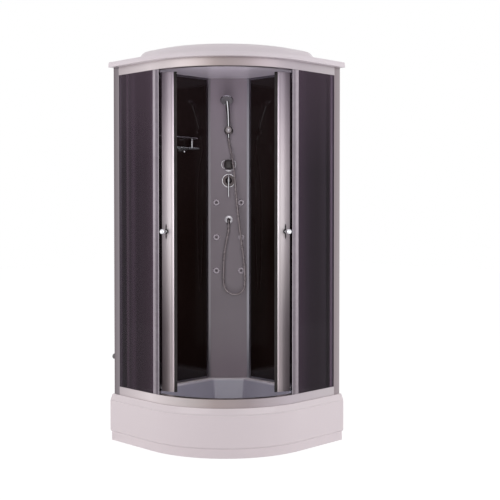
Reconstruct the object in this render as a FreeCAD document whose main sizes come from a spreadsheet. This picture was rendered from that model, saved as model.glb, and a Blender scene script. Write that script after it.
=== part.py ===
import FreeCAD, Part
import math
import os
import Sketcher

# Quadrant shower cabin. Millimetres, +Z up. The origin is on the floor at the centre foot, under the
# middle of the square that the cabin stands in. The room's corner is at -X +Y and the doors face +X -Y.
# "Left" and "right" are as seen by someone who stands in front of the doors.

doc = FreeCAD.newDocument("ShowerCabin")
dims = doc.addObject("Spreadsheet::Sheet", "Dims")
worked_out = doc.addObject("App::VarSet", "Worked")
pieces = {}
notes = {}


# ---------------------------------------------------------------- sizes and formulas

class Size:
    # A number together with the formula that gives it from the sheet's cells.
    def __init__(self, value, text):
        self.value = float(value)
        self.text = text

    def __add__(self, other):
        other = as_size(other)
        return Size(self.value + other.value, f"({self.text} + {other.text})")

    def __radd__(self, other):
        return as_size(other) + self

    def __sub__(self, other):
        other = as_size(other)
        return Size(self.value - other.value, f"({self.text} - {other.text})")

    def __rsub__(self, other):
        return as_size(other) - self

    def __mul__(self, other):
        other = as_size(other)
        return Size(self.value * other.value, f"({self.text} * {other.text})")

    def __rmul__(self, other):
        return as_size(other) * self

    def __truediv__(self, other):
        other = as_size(other)
        return Size(self.value / other.value, f"({self.text} / {other.text})")

    def __rtruediv__(self, other):
        return as_size(other) / self

    def __neg__(self):
        return Size(-self.value, f"(0 - {self.text})")


def as_size(number):
    return number if isinstance(number, Size) else Size(number, f"({float(number):.6f})")


def sine(angle):
    angle = as_size(angle)
    return Size(math.sin(math.radians(angle.value)), f"sin({angle.text})")


def cosine(angle):
    angle = as_size(angle)
    return Size(math.cos(math.radians(angle.value)), f"cos({angle.text})")


def tangent(angle):
    return sine(angle) / cosine(angle)


def root(number):
    return Size(math.sqrt(number.value), f"sqrt({number.text})")


def arc_cosine(ratio):
    return Size(math.degrees(math.acos(ratio.value)), f"(acos({ratio.text}) / 1 deg)")


def arc_tangent(ratio):
    return Size(math.degrees(math.atan(ratio.value)), f"(atan({ratio.text}) / 1 deg)")


def size(name, number, note):
    row = len(notes) + 1
    notes[name] = note
    dims.set(f"A{row}", name)
    dims.set(f"B{row}", str(number))
    dims.set(f"C{row}", note)
    dims.setAlias(f"B{row}", name)
    return Size(number, f"Dims.{name}")


def worked(name, formula):
    worked_out.addProperty("App::PropertyFloat", name)
    worked_out.setExpression(name, formula.text)
    return Size(formula.value, f"Worked.{name}")


def bind(item, path, formula):
    item.setExpression(path, as_size(formula).text)


# overall
square = size("square", 900, "side of the square that the cabin stands in")
bend = size("bend_radius", 550, "radius of the front, on the square's own line")
roof_rise = size("roof_rise", 74, "top of the roof above the ceiling's underside")
seat_gap = size("seat_gap", 0.3, "clearance between pieces that rest on each other")
half = worked("half", square / 2)
reach = worked("reach", bend - half)

# tray and apron
tray_height = size("tray_height", 260, "floor to tray rim")
tray_shell = size("tray_shell", 6, "thickness of the acrylic tray")
lip_depth = size("lip_depth", 34, "height of the tray's outer lip")
lip_foot = size("lip_foot", 6, "upright foot of the lip")
lip_out = size("lip_out", 13, "how far the lip's foot stands out past the square")
basin_depth = size("basin_depth", 140, "rim to basin floor")
basin_front = size("basin_front", 72, "rim width at the front")
basin_back = size("basin_back", 46, "rim width along the walls")
basin_corner = size("basin_corner", 50, "plan radius of the basin's corners")
basin_rear_corner = size("basin_rear_corner", 40, "plan radius beside the column")
basin_taper = size("basin_taper", 30, "how far the basin's walls draw in at the floor")
basin_ledge = size("basin_ledge", 22, "rim left in front of the column")
basin_fillet = size("basin_fillet", 22, "radius between the basin's floor and walls")
rim_fillet = size("rim_fillet", 8, "radius of the basin's edge")
lip_fillet = size("lip_fillet", 4, "radius of the rim's outer edge")
apron_gap = size("apron_gap", 3, "apron above the floor")
apron_skin = size("apron_skin", 4, "thickness of the apron")
apron_out = size("apron_out", 15, "apron face past the square")
plinth_height = size("plinth_height", 50, "height of the apron's recessed foot band")
plinth_step = size("plinth_step", 10, "depth of that recess")
apron_flange = size("apron_flange", 24, "top flange of the apron")

# aluminium front frame
frame_inset = size("frame_inset", 8, "frame face inside the square's line")
frame_wall = size("frame_wall", 2.4, "wall of the aluminium sections")
bottom_rail_height = size("bottom_rail_height", 45, "height of the bottom rail")
top_rail_height = size("top_rail_height", 55, "height of the top rail")
ceiling_height = size("ceiling_height", 2076, "floor to ceiling underside")
cabin_height = worked("cabin_height", ceiling_height + roof_rise)
rail_depth = size("rail_depth", 38, "depth of the rails")
glass_thickness = size("glass_thickness", 5, "thickness of the tempered panes")
glass_play = size("glass_play", 1, "play of a pane in its groove, each side")
groove_depth = size("groove_depth", 17, "depth of the rails' glass groove")
jamb_width = size("jamb_width", 52, "width of the side profiles on the front")
jamb_step = size("jamb_step", 16, "width of the lower step beside the wall")
jamb_depth = size("jamb_depth", 36, "depth of the side profiles")
jamb_leg = size("jamb_leg", 22, "further depth of the leg along the wall")
wall_space = size("wall_space", 2, "side profiles and column clear of the room's wall")
panel_set = size("panel_set", 7, "back of the wall panels from the room's wall")
panel_groove = size("panel_groove", 12, "depth of the groove that holds a wall panel")
glass_groove = size("glass_groove", 14, "depth of the groove that holds a fixed pane")

# column
column_width = size("column_width", 248, "visible width of the corner column")
column_plate = size("column_plate", 4, "thickness of the column's plate")
column_flange = size("column_flange", 32, "flanges behind the wall panels")
trim_leg = size("trim_leg", 14, "legs of the bright trims")
panel_trim = size("panel_trim", 12, "height of the trims along the wall panels")
trim_skin = size("trim_skin", 1.5, "thickness of the trims")

# roof
ceiling_skin = size("ceiling_skin", 6, "thickness of the ceiling panel")
roof_skin = size("roof_skin", 4, "thickness of the roof cover")
dome_fillet = size("dome_fillet", 10, "radius of the dome's top edge")
roof_fillet = size("roof_fillet", 3, "radius of the roof rim's edges")
roof_out = size("roof_out", 25, "roof rim past the square")
roof_drop = size("roof_drop", 10, "roof rim below the ceiling's underside")
roof_rim = size("roof_rim", 28, "height of the roof rim")
roof_batter = size("roof_batter", 3, "how far the rim leans in")
dome_inset = size("dome_inset", 58, "foot of the dome inside the square's line")
dome_slope = size("dome_slope", 26, "how far the dome's sides lean in")
dome_corner = size("dome_corner", 70, "plan radius of the dome's corners")

# doors
door_glass_radius = size("door_glass_radius", 496, "outer face of the curved panes")
door_span = size("door_span", 47.5, "angle from the meeting line to a door's rear edge")
door_gap = size("door_gap", 10, "door glass clear of the rails above and below")
track_inset = size("track_inset", 40, "roller track inside the square's line")
front_roller = size("front_roller", 12.5, "angle of the front rollers when shut")
rear_roller = size("rear_roller", 42.5, "angle of the rear rollers when shut")
open_stop = size("open_stop", 78, "rear rollers from the room's wall when open")
roller_radius = size("roller_radius", 11.5, "radius of the rollers")
roller_width = size("roller_width", 6, "width of the rollers")
axle_radius = size("axle_radius", 2.5, "radius of the roller axles")
axle_clearance = size("axle_clearance", 0.05, "running clearance of the rollers")
stile_width = size("stile_width", 8.2, "angle covered by the leading profile")
nose_width = size("nose_width", 1.6, "angle covered by the raised nose of the leading profile")
nose_out = size("nose_out", 3, "height of that nose")
stile_skin = size("stile_skin", 2, "wall of the leading profile")
seal_width = size("seal_width", 1.7, "angle covered by the magnetic seal")
meeting_gap = size("meeting_gap", 0.3, "gap between the two magnetic seals when shut")
strip_width = size("strip_width", 3.2, "angle covered by the rear strip")
strip_skin = size("strip_skin", 1.5, "wall of the rear strip")

centre_back = square - bend                       # from a wall to the start of the bend
ceiling_top = worked("ceiling_top", ceiling_height + seat_gap + ceiling_skin)
frame_line = -frame_inset                         # offsets outward from the square's line
pane_out = worked("pane_out", frame_line - frame_wall - glass_play)
pane_in = worked("pane_in", pane_out - glass_thickness)
rib_out = worked("rib_out", pane_in - glass_play)
rib_in = worked("rib_in", rib_out - frame_wall)
bottom_rail_top = worked("bottom_rail_top", tray_height + bottom_rail_height)
top_rail_low = worked("top_rail_low", ceiling_height - top_rail_height)
panel_face = worked("panel_face", panel_set + glass_thickness)
column_back = worked("column_back", column_width / 2 + panel_face * root(as_size(2)))


# ---------------------------------------------------------------- sketches and features

def new_body(name):
    body = doc.addObject("PartDesign::Body", name)
    body.Label = name
    return body


def sketch_on(body, plane, at=(0, 0, 0)):
    # A sketch on one of the body's origin planes, moved to the point "at" of the body's own frame.
    sketch = body.newObject("Sketcher::SketchObject", "Sketch")
    support = [feature for feature in body.Origin.OriginFeatures if feature.Role == plane]
    sketch.AttachmentSupport = (support[0], [""])
    sketch.MapMode = "FlatFace"
    across, along, up = (as_size(value) for value in at)
    shifts = {
        "XY_Plane": (across, along, up),
        "XZ_Plane": (across, up, -along),
        "YZ_Plane": (along, up, across),
    }[plane]
    for axis, shift in zip("xyz", shifts):
        bind(sketch, f"AttachmentOffset.Base.{axis}", shift)
    return sketch


def hold(sketch, kind, geometry, point, formula):
    number = sketch.addConstraint(
        Sketcher.Constraint(kind, -1, 1, geometry, point, formula.value))
    bind(sketch, f"Constraints[{number}]", formula)


def arc_between(start, end, radius, turn):
    # turn is +1 for an arc that runs anticlockwise from start to end, -1 for clockwise
    chord = end - start
    middle = (start + end) * 0.5
    rise = math.sqrt(max(radius ** 2 - (chord.Length / 2) ** 2, 0))
    normal = FreeCAD.Vector(-chord.y, chord.x, 0).normalize() * turn
    centre = middle + normal * rise
    first, last = (start, end) if turn > 0 else (end, start)
    angles = [math.atan2(point.y - centre.y, point.x - centre.x) for point in (first, last)]
    circle = Part.Circle(centre, FreeCAD.Vector(0, 0, 1), radius)
    return Part.ArcOfCircle(circle, angles[0], angles[1])


def draw(sketch, corners, closed=True):
    # Each corner is (x, y) or (x, y, radius, turn): with a radius, an arc leads to the next corner.
    corners = [tuple(as_size(value) for value in corner[:2]) + tuple(corner[2:]) for corner in corners]
    spots = [FreeCAD.Vector(corner[0].value, corner[1].value, 0) for corner in corners]
    count = len(corners) if closed else len(corners) - 1
    ends = []
    for index in range(count):
        start = spots[index]
        end = spots[(index + 1) % len(spots)]
        corner = corners[index]
        if len(corner) == 2:
            number = sketch.addGeometry(Part.LineSegment(start, end), False)
            ends.append((number, 1, 2))
        else:
            radius = as_size(corner[2])
            number = sketch.addGeometry(arc_between(start, end, radius.value, corner[3]), False)
            ends.append((number, 1, 2) if corner[3] > 0 else (number, 2, 1))
            ring = sketch.addConstraint(Sketcher.Constraint("Radius", number, radius.value))
            bind(sketch, f"Constraints[{ring}]", radius)
    joints = count if closed else count - 1
    for index in range(joints):
        here = ends[index]
        there = ends[(index + 1) % count]
        sketch.addConstraint(Sketcher.Constraint("Coincident", here[0], here[2], there[0], there[1]))
    for index, corner in enumerate(corners):
        number, point = (ends[index][0], ends[index][1]) if index < count else (ends[-1][0], ends[-1][2])
        hold(sketch, "DistanceX", number, point, corner[0])
        hold(sketch, "DistanceY", number, point, corner[1])


def draw_circle(sketch, across, along, radius):
    across, along, radius = as_size(across), as_size(along), as_size(radius)
    spot = FreeCAD.Vector(across.value, along.value, 0)
    circle = Part.Circle(spot, FreeCAD.Vector(0, 0, 1), radius.value)
    number = sketch.addGeometry(circle, False)
    ring = sketch.addConstraint(Sketcher.Constraint("Radius", number, radius.value))
    bind(sketch, f"Constraints[{ring}]", radius)
    hold(sketch, "DistanceX", number, 3, across)
    hold(sketch, "DistanceY", number, 3, along)


def pad(body, sketch, length, backwards=False):
    feature = body.newObject("PartDesign::Pad", "Pad")
    feature.Profile = sketch
    bind(feature, "Length", length)
    feature.Reversed = backwards
    return feature


def pocket(body, sketch, length, backwards=False):
    feature = body.newObject("PartDesign::Pocket", "Pocket")
    feature.Profile = sketch
    bind(feature, "Length", length)
    feature.Reversed = backwards
    return feature


def turned(body, sketch, axis="V_Axis"):
    feature = body.newObject("PartDesign::Revolution", "Revolution")
    feature.Profile = sketch
    feature.ReferenceAxis = (sketch, [axis])
    feature.Angle = 360
    return feature


def loft(body, kind, sketches):
    feature = body.newObject(f"PartDesign::{kind}", kind)
    feature.Profile = sketches[0]
    feature.Sections = sketches[1:]
    feature.Ruled = True
    return feature


def swept(body, section, path):
    feature = body.newObject("PartDesign::AdditivePipe", "Pipe")
    feature.Profile = section
    feature.Spine = (path, [])
    return feature


def rounded(body, base, radius, picks):
    # Rounds the edges of the body's last feature that the test picks.
    doc.recompute()
    feature = body.newObject("PartDesign::Fillet", "Fillet")
    edges = [f"Edge{number}" for number, edge in enumerate(base.Shape.Edges, 1) if picks(edge)]
    feature.Base = (base, edges)
    bind(feature, "Radius", radius)
    return feature


def level_edge(edge, height):
    return all(abs(vertex.Z - height.value) < 0.01 for vertex in edge.Vertexes)


def box(name, low, high):
    # A block between two opposite corners.
    block = doc.addObject("Part::Box", name)
    for side, axis, near, far in zip(("Length", "Width", "Height"), "xyz", low, high):
        near, far = as_size(near), as_size(far)
        bind(block, side, far - near)
        bind(block, f"Placement.Base.{axis}", near)
    return block


def rod(name, low, length, radius, along=(0, 0, 1)):
    # A round bar from the point low, in the direction along.
    bar = doc.addObject("Part::Cylinder", name)
    bind(bar, "Radius", radius)
    bind(bar, "Height", length)
    turn = FreeCAD.Rotation(FreeCAD.Vector(0, 0, 1), FreeCAD.Vector(*along))
    bar.Placement = FreeCAD.Placement(FreeCAD.Vector(), turn)
    for axis, value in zip("xyz", low):
        bind(bar, f"Placement.Base.{axis}", value)
    return bar


def ball(name, centre, radius):
    sphere = doc.addObject("Part::Sphere", name)
    bind(sphere, "Radius", radius)
    for axis, value in zip("xyz", centre):
        bind(sphere, f"Placement.Base.{axis}", value)
    return sphere


def joined(name, items):
    union = doc.addObject("Part::MultiFuse", name)
    union.Shapes = items
    return union


def less(name, base, tools):
    difference = doc.addObject("Part::Cut", name)
    difference.Base = base
    difference.Tool = tools[0] if len(tools) == 1 else joined(name + "_tools", tools)
    return difference


def grouped(name, items):
    group = doc.addObject("Part::Compound", name)
    group.Links = items
    return group


def again(item, name):
    link = doc.addObject("App::Link", name)
    link.LinkedObject = item
    return link


def piece(name, item):
    item.Label = name
    pieces[name] = item
    return item


# ---------------------------------------------------------------- outlines that recur

def quadrant(sketch, front, back):
    # The square's outline with one corner rounded off, offset outward at the front and at the walls.
    radius = bend + front
    draw(sketch, [
        (-half - back, -half - front),
        (-reach, -half - front, radius, 1),
        (half + front, reach),
        (half + front, half + back),
        (-half - back, half + back),
    ])


def soft_quadrant(sketch, front, back, corner):
    # The same with rounded plan corners, drawn inward: front and back are insets.
    draw(sketch, [
        (-half + back, -half + front + corner, corner, 1),
        (-half + back + corner, -half + front),
        (-reach, -half + front, bend - front, 1),
        (half - front, reach),
        (half - front, half - back - corner, corner, 1),
        (half - front - corner, half - back),
        (-half + back + corner, half - back, corner, 1),
        (-half + back, half - back - corner),
    ])


def basin(sketch, inset):
    # The basin's outline: a quadrant with its rear corner cut off in front of the column.
    front = basin_front + inset
    back = basin_back + inset
    corner = basin_corner
    rear = basin_rear_corner * tangent(22.5)
    slant = rear / root(as_size(2))
    cut = square - (column_back + basin_ledge + inset) * root(as_size(2))
    left = -half + back
    top = half - back
    draw(sketch, [
        (left, -half + front + corner, corner, 1),
        (left + corner, -half + front),
        (-reach, -half + front, bend - front, 1),
        (half - front, reach),
        (half - front, top - corner, corner, 1),
        (half - front - corner, top),
        (top - cut + rear, top, basin_rear_corner, 1),
        (top - cut - slant, top - slant),
        (left + slant, left + cut + slant, basin_rear_corner, 1),
        (left, left + cut - rear),
    ])


def front_line(sketch, offset, start):
    # The way along the front: straight, bend, straight, from a plane "start" off one wall to the other.
    draw(sketch, [
        (-half + start, -half - offset),
        (-reach, -half - offset, bend + offset, 1),
        (half + offset, reach),
        (half + offset, half - start),
    ], closed=False)


def front_section(name, start, corners):
    # A section carried along the front. Corners are (offset outward from the square's line, height).
    body = new_body(name)
    section = sketch_on(body, "YZ_Plane", (-half + start, 0, 0))
    draw(section, [(-half - offset, height) for offset, height in corners])
    path = sketch_on(body, "XY_Plane")
    front_line(path, frame_line, start)
    swept(body, section, path)
    return body


# ---------------------------------------------------------------- tray, apron and what is under them

def make_tray():
    body = new_body("tray")
    low = tray_height - lip_depth
    foot = sketch_on(body, "XY_Plane", (0, 0, low))
    quadrant(foot, lip_out, 0)
    pad(body, foot, lip_foot)
    lip_low = sketch_on(body, "XY_Plane", (0, 0, low + lip_foot))
    quadrant(lip_low, lip_out, 0)
    lip_high = sketch_on(body, "XY_Plane", (0, 0, tray_height))
    quadrant(lip_high, 0, 0)
    loft(body, "AdditiveLoft", [lip_low, lip_high])
    under_low = sketch_on(body, "XY_Plane", (0, 0, low))
    quadrant(under_low, lip_out - tray_shell, -tray_shell)
    under_high = sketch_on(body, "XY_Plane", (0, 0, tray_height - tray_shell))
    quadrant(under_high, -tray_shell, -tray_shell)
    loft(body, "SubtractiveLoft", [under_low, under_high])
    floor_under = sketch_on(body, "XY_Plane", (0, 0, tray_height - basin_depth - tray_shell))
    basin(floor_under, basin_taper - tray_shell)
    wall_top = sketch_on(body, "XY_Plane", (0, 0, tray_height - tray_shell / 2))
    basin(wall_top, -tray_shell)
    loft(body, "AdditiveLoft", [floor_under, wall_top])
    floor_top = sketch_on(body, "XY_Plane", (0, 0, tray_height - basin_depth))
    basin(floor_top, basin_taper)
    rim = sketch_on(body, "XY_Plane", (0, 0, tray_height))
    basin(rim, 0)
    loft(body, "SubtractiveLoft", [floor_top, rim])
    waste = sketch_on(body, "XY_Plane", (0, 0, tray_height - basin_depth + tray_shell))
    draw_circle(waste, drain_x, drain_y, drain_hole)
    last = pocket(body, waste, 3 * tray_shell)
    floor = tray_height - basin_depth
    box_in = half - basin_back + 1

    def in_basin(edge):
        return all(abs(vertex.X) < box_in.value and abs(vertex.Y) < box_in.value for vertex in edge.Vertexes)

    def on_front(edge):
        middle = edge.valueAt((edge.FirstParameter + edge.LastParameter) / 2)
        return (middle.x - middle.y) > half.value and not in_basin(edge)

    last = rounded(body, last, basin_fillet, lambda edge: level_edge(edge, floor) and len(edge.Vertexes) > 1)
    last = rounded(body, last, rim_fillet, lambda edge: level_edge(edge, tray_height) and in_basin(edge))
    rounded(body, last, lip_fillet, lambda edge: level_edge(edge, tray_height) and on_front(edge))
    piece("tray", body)


drain_x = size("drain_x", -70, "waste, across")
drain_y = size("drain_y", 150, "waste, along")
drain_hole = size("drain_hole", 45, "radius of the hole for the waste")
drain_flange = size("drain_flange", 56, "radius of the waste's flange")
drain_cup = size("drain_cup", 50, "radius of the trap's cup")
drain_drop = size("drain_drop", 84, "depth of the trap under the floor")
outlet_radius = size("outlet_radius", 20, "radius of the outlet spigot")
outlet_bore = size("outlet_bore", 18, "bore of the outlet spigot")
outlet_length = size("outlet_length", 150, "spigot from the trap's axis to its end")
outlet_free = size("outlet_free", 60, "length of the waste outlet's free end")
cover_radius = size("cover_radius", 58, "radius of the chrome waste cover")
cover_height = size("cover_height", 9, "height of the chrome waste cover")


def make_drain():
    floor_top = tray_height - basin_depth
    body = new_body("drain_cup")
    section = sketch_on(body, "XZ_Plane")
    wall = outlet_radius - outlet_bore
    neck = drain_hole - 1
    top = floor_top + seat_gap
    bottom = floor_top - drain_drop
    under = floor_top - tray_shell - seat_gap
    draw(section, [
        (0, bottom),
        (drain_cup - wall, bottom),
        (drain_cup, bottom + wall),
        (drain_cup, under - wall),
        (neck, under),
        (neck, top),
        (drain_flange, top),
        (drain_flange, top + wall / 2),
        (neck - wall, top + wall / 2),
        (neck - wall, under - wall),
        (drain_cup - wall, under - 2 * wall),
        (drain_cup - wall, bottom + wall),
        (0, bottom + wall),
    ])
    turned(body, section)
    middle = bottom + outlet_radius + wall
    spigot = rod("drain_spigot", (0, drain_cup - 2 * wall, middle), outlet_length - drain_cup + 2 * wall,
                 outlet_radius, (0, 1, 0))
    root_length = outlet_length - outlet_free - drain_cup + 2 * wall
    collar = rod("drain_collar", (0, drain_cup - 2 * wall, middle), root_length, outlet_radius + 2 * wall,
                 (0, 1, 0))
    bore = rod("drain_bore", (0, drain_cup - 4 * wall, middle), outlet_length, outlet_bore, (0, 1, 0))
    shape = less("drain_body", joined("drain_union", [body, spigot, collar]), [bore])
    bind(shape, "Placement.Base.x", drain_x)
    bind(shape, "Placement.Base.y", drain_y)
    piece("drain_body", shape)

    cover = new_body("drain_cover")
    section = sketch_on(cover, "XZ_Plane", (0, 0, top + wall / 2 + seat_gap))
    shank = neck - wall - seat_gap
    draw(section, [
        (0, 0),
        (shank - wall, 0),
        (shank - wall, -cover_height),
        (shank, -cover_height),
        (shank, 0),
        (cover_radius, 0),
        (cover_radius, cover_height / 4),
        (cover_radius * 0.85, cover_height * 0.75),
        (cover_radius * 0.5, cover_height),
        (0, cover_height),
    ])
    turned(cover, section)
    bind(cover, "Placement.Base.x", drain_x)
    bind(cover, "Placement.Base.y", drain_y)
    piece("drain_cover", cover)


tube = size("frame_tube", 25, "side of the frame's square tubes")
tube_wall = size("frame_tube_wall", 2, "wall of the frame's tubes")
frame_rear = size("frame_rear", 300, "rear tubes from the middle")
frame_front = size("frame_front", 170, "front tubes from the middle")
post = size("frame_post", 20, "side of the posts under the rim")
foot_radius = size("foot_radius", 26, "radius of the feet")
foot_height = size("foot_height", 9, "height of the feet")
stud_radius = size("stud_radius", 6, "radius of the foot studs")
stud_clearance = size("stud_clearance", 0.3, "studs in the tubes")
stud_top = size("stud_top", 12, "studs above the tubes")
nut_across = size("nut_across", 19, "foot nuts across the flats")
nut_height = size("nut_height", 8, "height of the foot nuts")
clip_width = size("clip_width", 24, "width of the apron clips")
clip_skin = size("clip_skin", 3, "thickness of the apron clips")
clip_tab = size("clip_tab", 30, "height of the clips' upright tabs")


def foot_spots():
    return [
        (as_size(0), as_size(0)),
        (-frame_rear, frame_rear),
        (frame_front, frame_rear),
        (-frame_rear, -frame_front),
        (frame_front, -frame_front),
    ]


def make_tray_frame():
    top = tray_height - basin_depth - tray_shell - seat_gap
    low = top - tube
    end = half - tray_shell - 8
    short = tube_wall
    # the tubes, as (x from, x to, y from, y to)
    runs = [
        (-end, end, frame_rear - tube / 2, frame_rear + tube / 2),
        (-end, frame_front + tube / 2, -frame_front - tube / 2, -frame_front + tube / 2),
        (-frame_rear, frame_front, -tube / 2, tube / 2),
        (-frame_rear - tube / 2, -frame_rear + tube / 2, -end, end),
        (frame_front - tube / 2, frame_front + tube / 2, -frame_front - tube / 2, end),
    ]
    outer = []
    inner = []
    for index, (left, right, near, far) in enumerate(runs):
        outer.append(box(f"frame_run_{index}", (left, near, low), (right, far, top)))
        along_x = right.value - left.value > far.value - near.value
        side = (0, short) if along_x else (short, 0)
        inner.append(box(f"frame_hollow_{index}",
                         (left + side[0], near + side[1], low + short),
                         (right - side[0], far - side[1], top - short)))
    rim = tray_height - tray_shell - seat_gap
    stands = [
        (-end, frame_rear - post / 2),
        (-end, -frame_front - post / 2),
        (-frame_rear - post / 2, end - post),
        (frame_front - post / 2, end - post),
        (-frame_rear - post / 2, -end),
        (end - post, frame_rear - post / 2),
    ]
    for index, (left, near) in enumerate(stands):
        outer.append(box(f"frame_post_{index}", (left, near, top), (left + post, near + post, rim)))
    # clips that reach forward to the back of the apron
    back = half + apron_out - apron_skin - seat_gap
    middle = (bend + apron_out - apron_skin - seat_gap) - reach * root(as_size(2))
    left = -frame_rear - clip_width / 2
    shelf = low + clip_skin
    lip = low + clip_tab
    outer += [
        box("clip_left_arm", (left, -back, low), (left + clip_width, -end, shelf)),
        box("clip_left_tab", (left, -back, low), (left + clip_width, -back + clip_skin, lip)),
        box("clip_right_arm", (end, -left - clip_width, low), (back, -left, shelf)),
        box("clip_right_tab", (back - clip_skin, -left - clip_width, low), (back, -left, lip)),
    ]
    inner_end = frame_front * root(as_size(2)) - tube
    arm = box("clip_middle_arm", (inner_end, -clip_width / 2, low), (middle, clip_width / 2, shelf))
    tab = box("clip_middle_tab", (middle - clip_skin, -clip_width / 2, low), (middle, clip_width / 2, lip))
    middle_clip = grouped("clip_middle", [arm, tab])
    turn = FreeCAD.Rotation(FreeCAD.Vector(0, 0, 1), -45)
    middle_clip.Placement = FreeCAD.Placement(FreeCAD.Vector(), turn)
    outer.append(middle_clip)
    holes = []
    for index, (across, along) in enumerate(foot_spots()):
        holes.append(rod(f"frame_hole_{index}", (across, along, low - tube), 3 * tube,
                         stud_radius + stud_clearance))
    piece("tray_frame", less("tray_frame", joined("frame_outer", outer), inner + holes))


def make_feet():
    low = tray_height - basin_depth - tray_shell - seat_gap - tube
    foot = new_body("foot")
    section = sketch_on(foot, "XZ_Plane")
    nut_low = low - nut_height - seat_gap
    draw(section, [
        (0, 0),
        (foot_radius, 0),
        (foot_radius, foot_height / 3),
        (stud_radius * 2, foot_height),
        (stud_radius, foot_height),
        (stud_radius, low + stud_top),
        (0, low + stud_top),
    ])
    turned(foot, section)
    flats = sketch_on(foot, "XY_Plane", (0, 0, nut_low))
    reach_out = nut_across / root(as_size(3))
    draw(flats, [(reach_out * cosine(60 * step), reach_out * sine(60 * step)) for step in range(6)])
    pad(foot, flats, nut_height)
    feet = [foot]
    for index, (across, along) in enumerate(foot_spots()[1:]):
        link = again(foot, f"foot_{index}")
        bind(link, "Placement.Base.x", across)
        bind(link, "Placement.Base.y", along)
        feet.append(link)
    piece("levelling_feet", grouped("levelling_feet", feet))


def make_apron():
    top = tray_height - lip_depth - seat_gap
    skin = apron_skin
    recess = apron_out - plinth_step
    piece("apron", front_section("apron", as_size(0), [
        (apron_out - skin / 2, top),
        (apron_out, top - skin / 2),
        (apron_out, plinth_height + plinth_step),
        (recess, plinth_height),
        (recess, apron_gap),
        (recess - skin, apron_gap),
        (recess - skin, plinth_height + skin / 2),
        (apron_out - skin, plinth_height + plinth_step + skin / 2),
        (apron_out - skin, top - skin),
        (apron_out - apron_flange, top - skin),
        (apron_out - apron_flange, top),
    ]))


# ---------------------------------------------------------------- front frame and fixed panes

def make_rails():
    web = frame_wall
    bevel = web / 2
    face = frame_line
    back = face - rail_depth
    low = top_rail_low
    high = ceiling_height
    piece("top_rail", front_section("top_rail", jamb_width + wall_space, [
        (face - bevel, low),
        (face, low + bevel),
        (face, high),
        (back, high),
        (back, high - web),
        (face - web, high - web),
        (face - web, low + groove_depth + web),
        (rib_in, low + groove_depth + web),
        (rib_in, low + web),
        (back, low + web),
        (back, low),
        (rib_out, low),
        (rib_out, low + groove_depth),
        (face - web, low + groove_depth),
        (face - web, low),
    ]))
    low = tray_height
    high = bottom_rail_top
    piece("bottom_rail", front_section("bottom_rail", jamb_width + wall_space, [
        (face - bevel, high),
        (face, high - bevel),
        (face, low + seat_gap),
        (back, low + seat_gap),
        (back, low + web),
        (face - web, low + web),
        (face - web, high - groove_depth - web),
        (rib_in, high - groove_depth - web),
        (rib_in, high - web),
        (back, high - web),
        (back, high),
        (rib_out, high),
        (rib_out, high - groove_depth),
        (face - web, high - groove_depth),
        (face - web, high),
    ]))


def mirrored_point(side, wall, inward):
    # A point given by its distance from the room's wall and inward from the front's straight line.
    if side == "left":
        return (-half + wall, -half + inward)
    return (half - inward, half - wall)


def make_side(side):
    web = frame_wall
    bevel = web / 2
    near = wall_space
    far = wall_space + jamb_width
    face = frame_inset
    back = frame_inset + jamb_depth
    end = back + jamb_leg
    pane = (-pane_out - glass_play / 2, -pane_in + glass_play / 2)
    panel = (panel_set - glass_play / 2, panel_face + glass_play / 2)
    leg = panel[1] + web
    step = web * 2
    section = [
        (near, face + step), (near + jamb_step, face + step), (near + jamb_step + step, face),
        (far - bevel, face), (far, face + bevel), (far, pane[0]),
        (far - glass_groove, pane[0]), (far - glass_groove, pane[1]), (far, pane[1]),
        (far, back), (leg, back), (leg, end), (panel[1], end),
        (panel[1], end - panel_groove), (panel[0], end - panel_groove), (panel[0], end), (near, end),
    ]
    hollow = [
        (leg, pane[1] + web), (far - web, pane[1] + web), (far - web, back - web), (leg, back - web),
    ]
    name = f"side_profile_{side}"
    body = new_body(name)
    outline = sketch_on(body, "XY_Plane", (0, 0, tray_height + seat_gap))
    draw(outline, [mirrored_point(side, *corner) for corner in section])
    height = ceiling_height - tray_height - seat_gap
    pad(body, outline, height)
    core = sketch_on(body, "XY_Plane", (0, 0, ceiling_height))
    draw(core, [mirrored_point(side, *corner) for corner in hollow])
    pocket(body, core, height)
    piece(name, body)

    name = f"fixed_glass_{side}"
    deep = groove_depth - glass_play
    first = mirrored_point(side, far - glass_groove + glass_play, -pane_out)
    second = mirrored_point(side, centre_back, -pane_in)
    piece(name, box(name,
                    (lesser(first[0], second[0]), lesser(first[1], second[1]), bottom_rail_top - deep),
                    (greater(first[0], second[0]), greater(first[1], second[1]), top_rail_low + deep)))

    name = f"wall_panel_{side}"
    first = mirrored_point(side, panel_set, end - panel_groove + glass_play)
    second = mirrored_point(side, panel_face, square - column_edge - glass_play)
    piece(name, box(name,
                    (lesser(first[0], second[0]), lesser(first[1], second[1]), tray_height + seat_gap),
                    (greater(first[0], second[0]), greater(first[1], second[1]), ceiling_height - seat_gap)))


def lesser(first, second):
    return first if first.value < second.value else second


def greater(first, second):
    return first if first.value > second.value else second


# where the column's plate meets the flange behind a wall panel, along the wall from the corner
column_edge = worked("column_edge", column_back * root(as_size(2)) - panel_set + 2)

seal_width_edge = size("edge_seal_width", 14, "width of the seal on a fixed pane's free edge")
seal_skin = size("edge_seal_skin", 1.5, "thickness of that seal")


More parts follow.
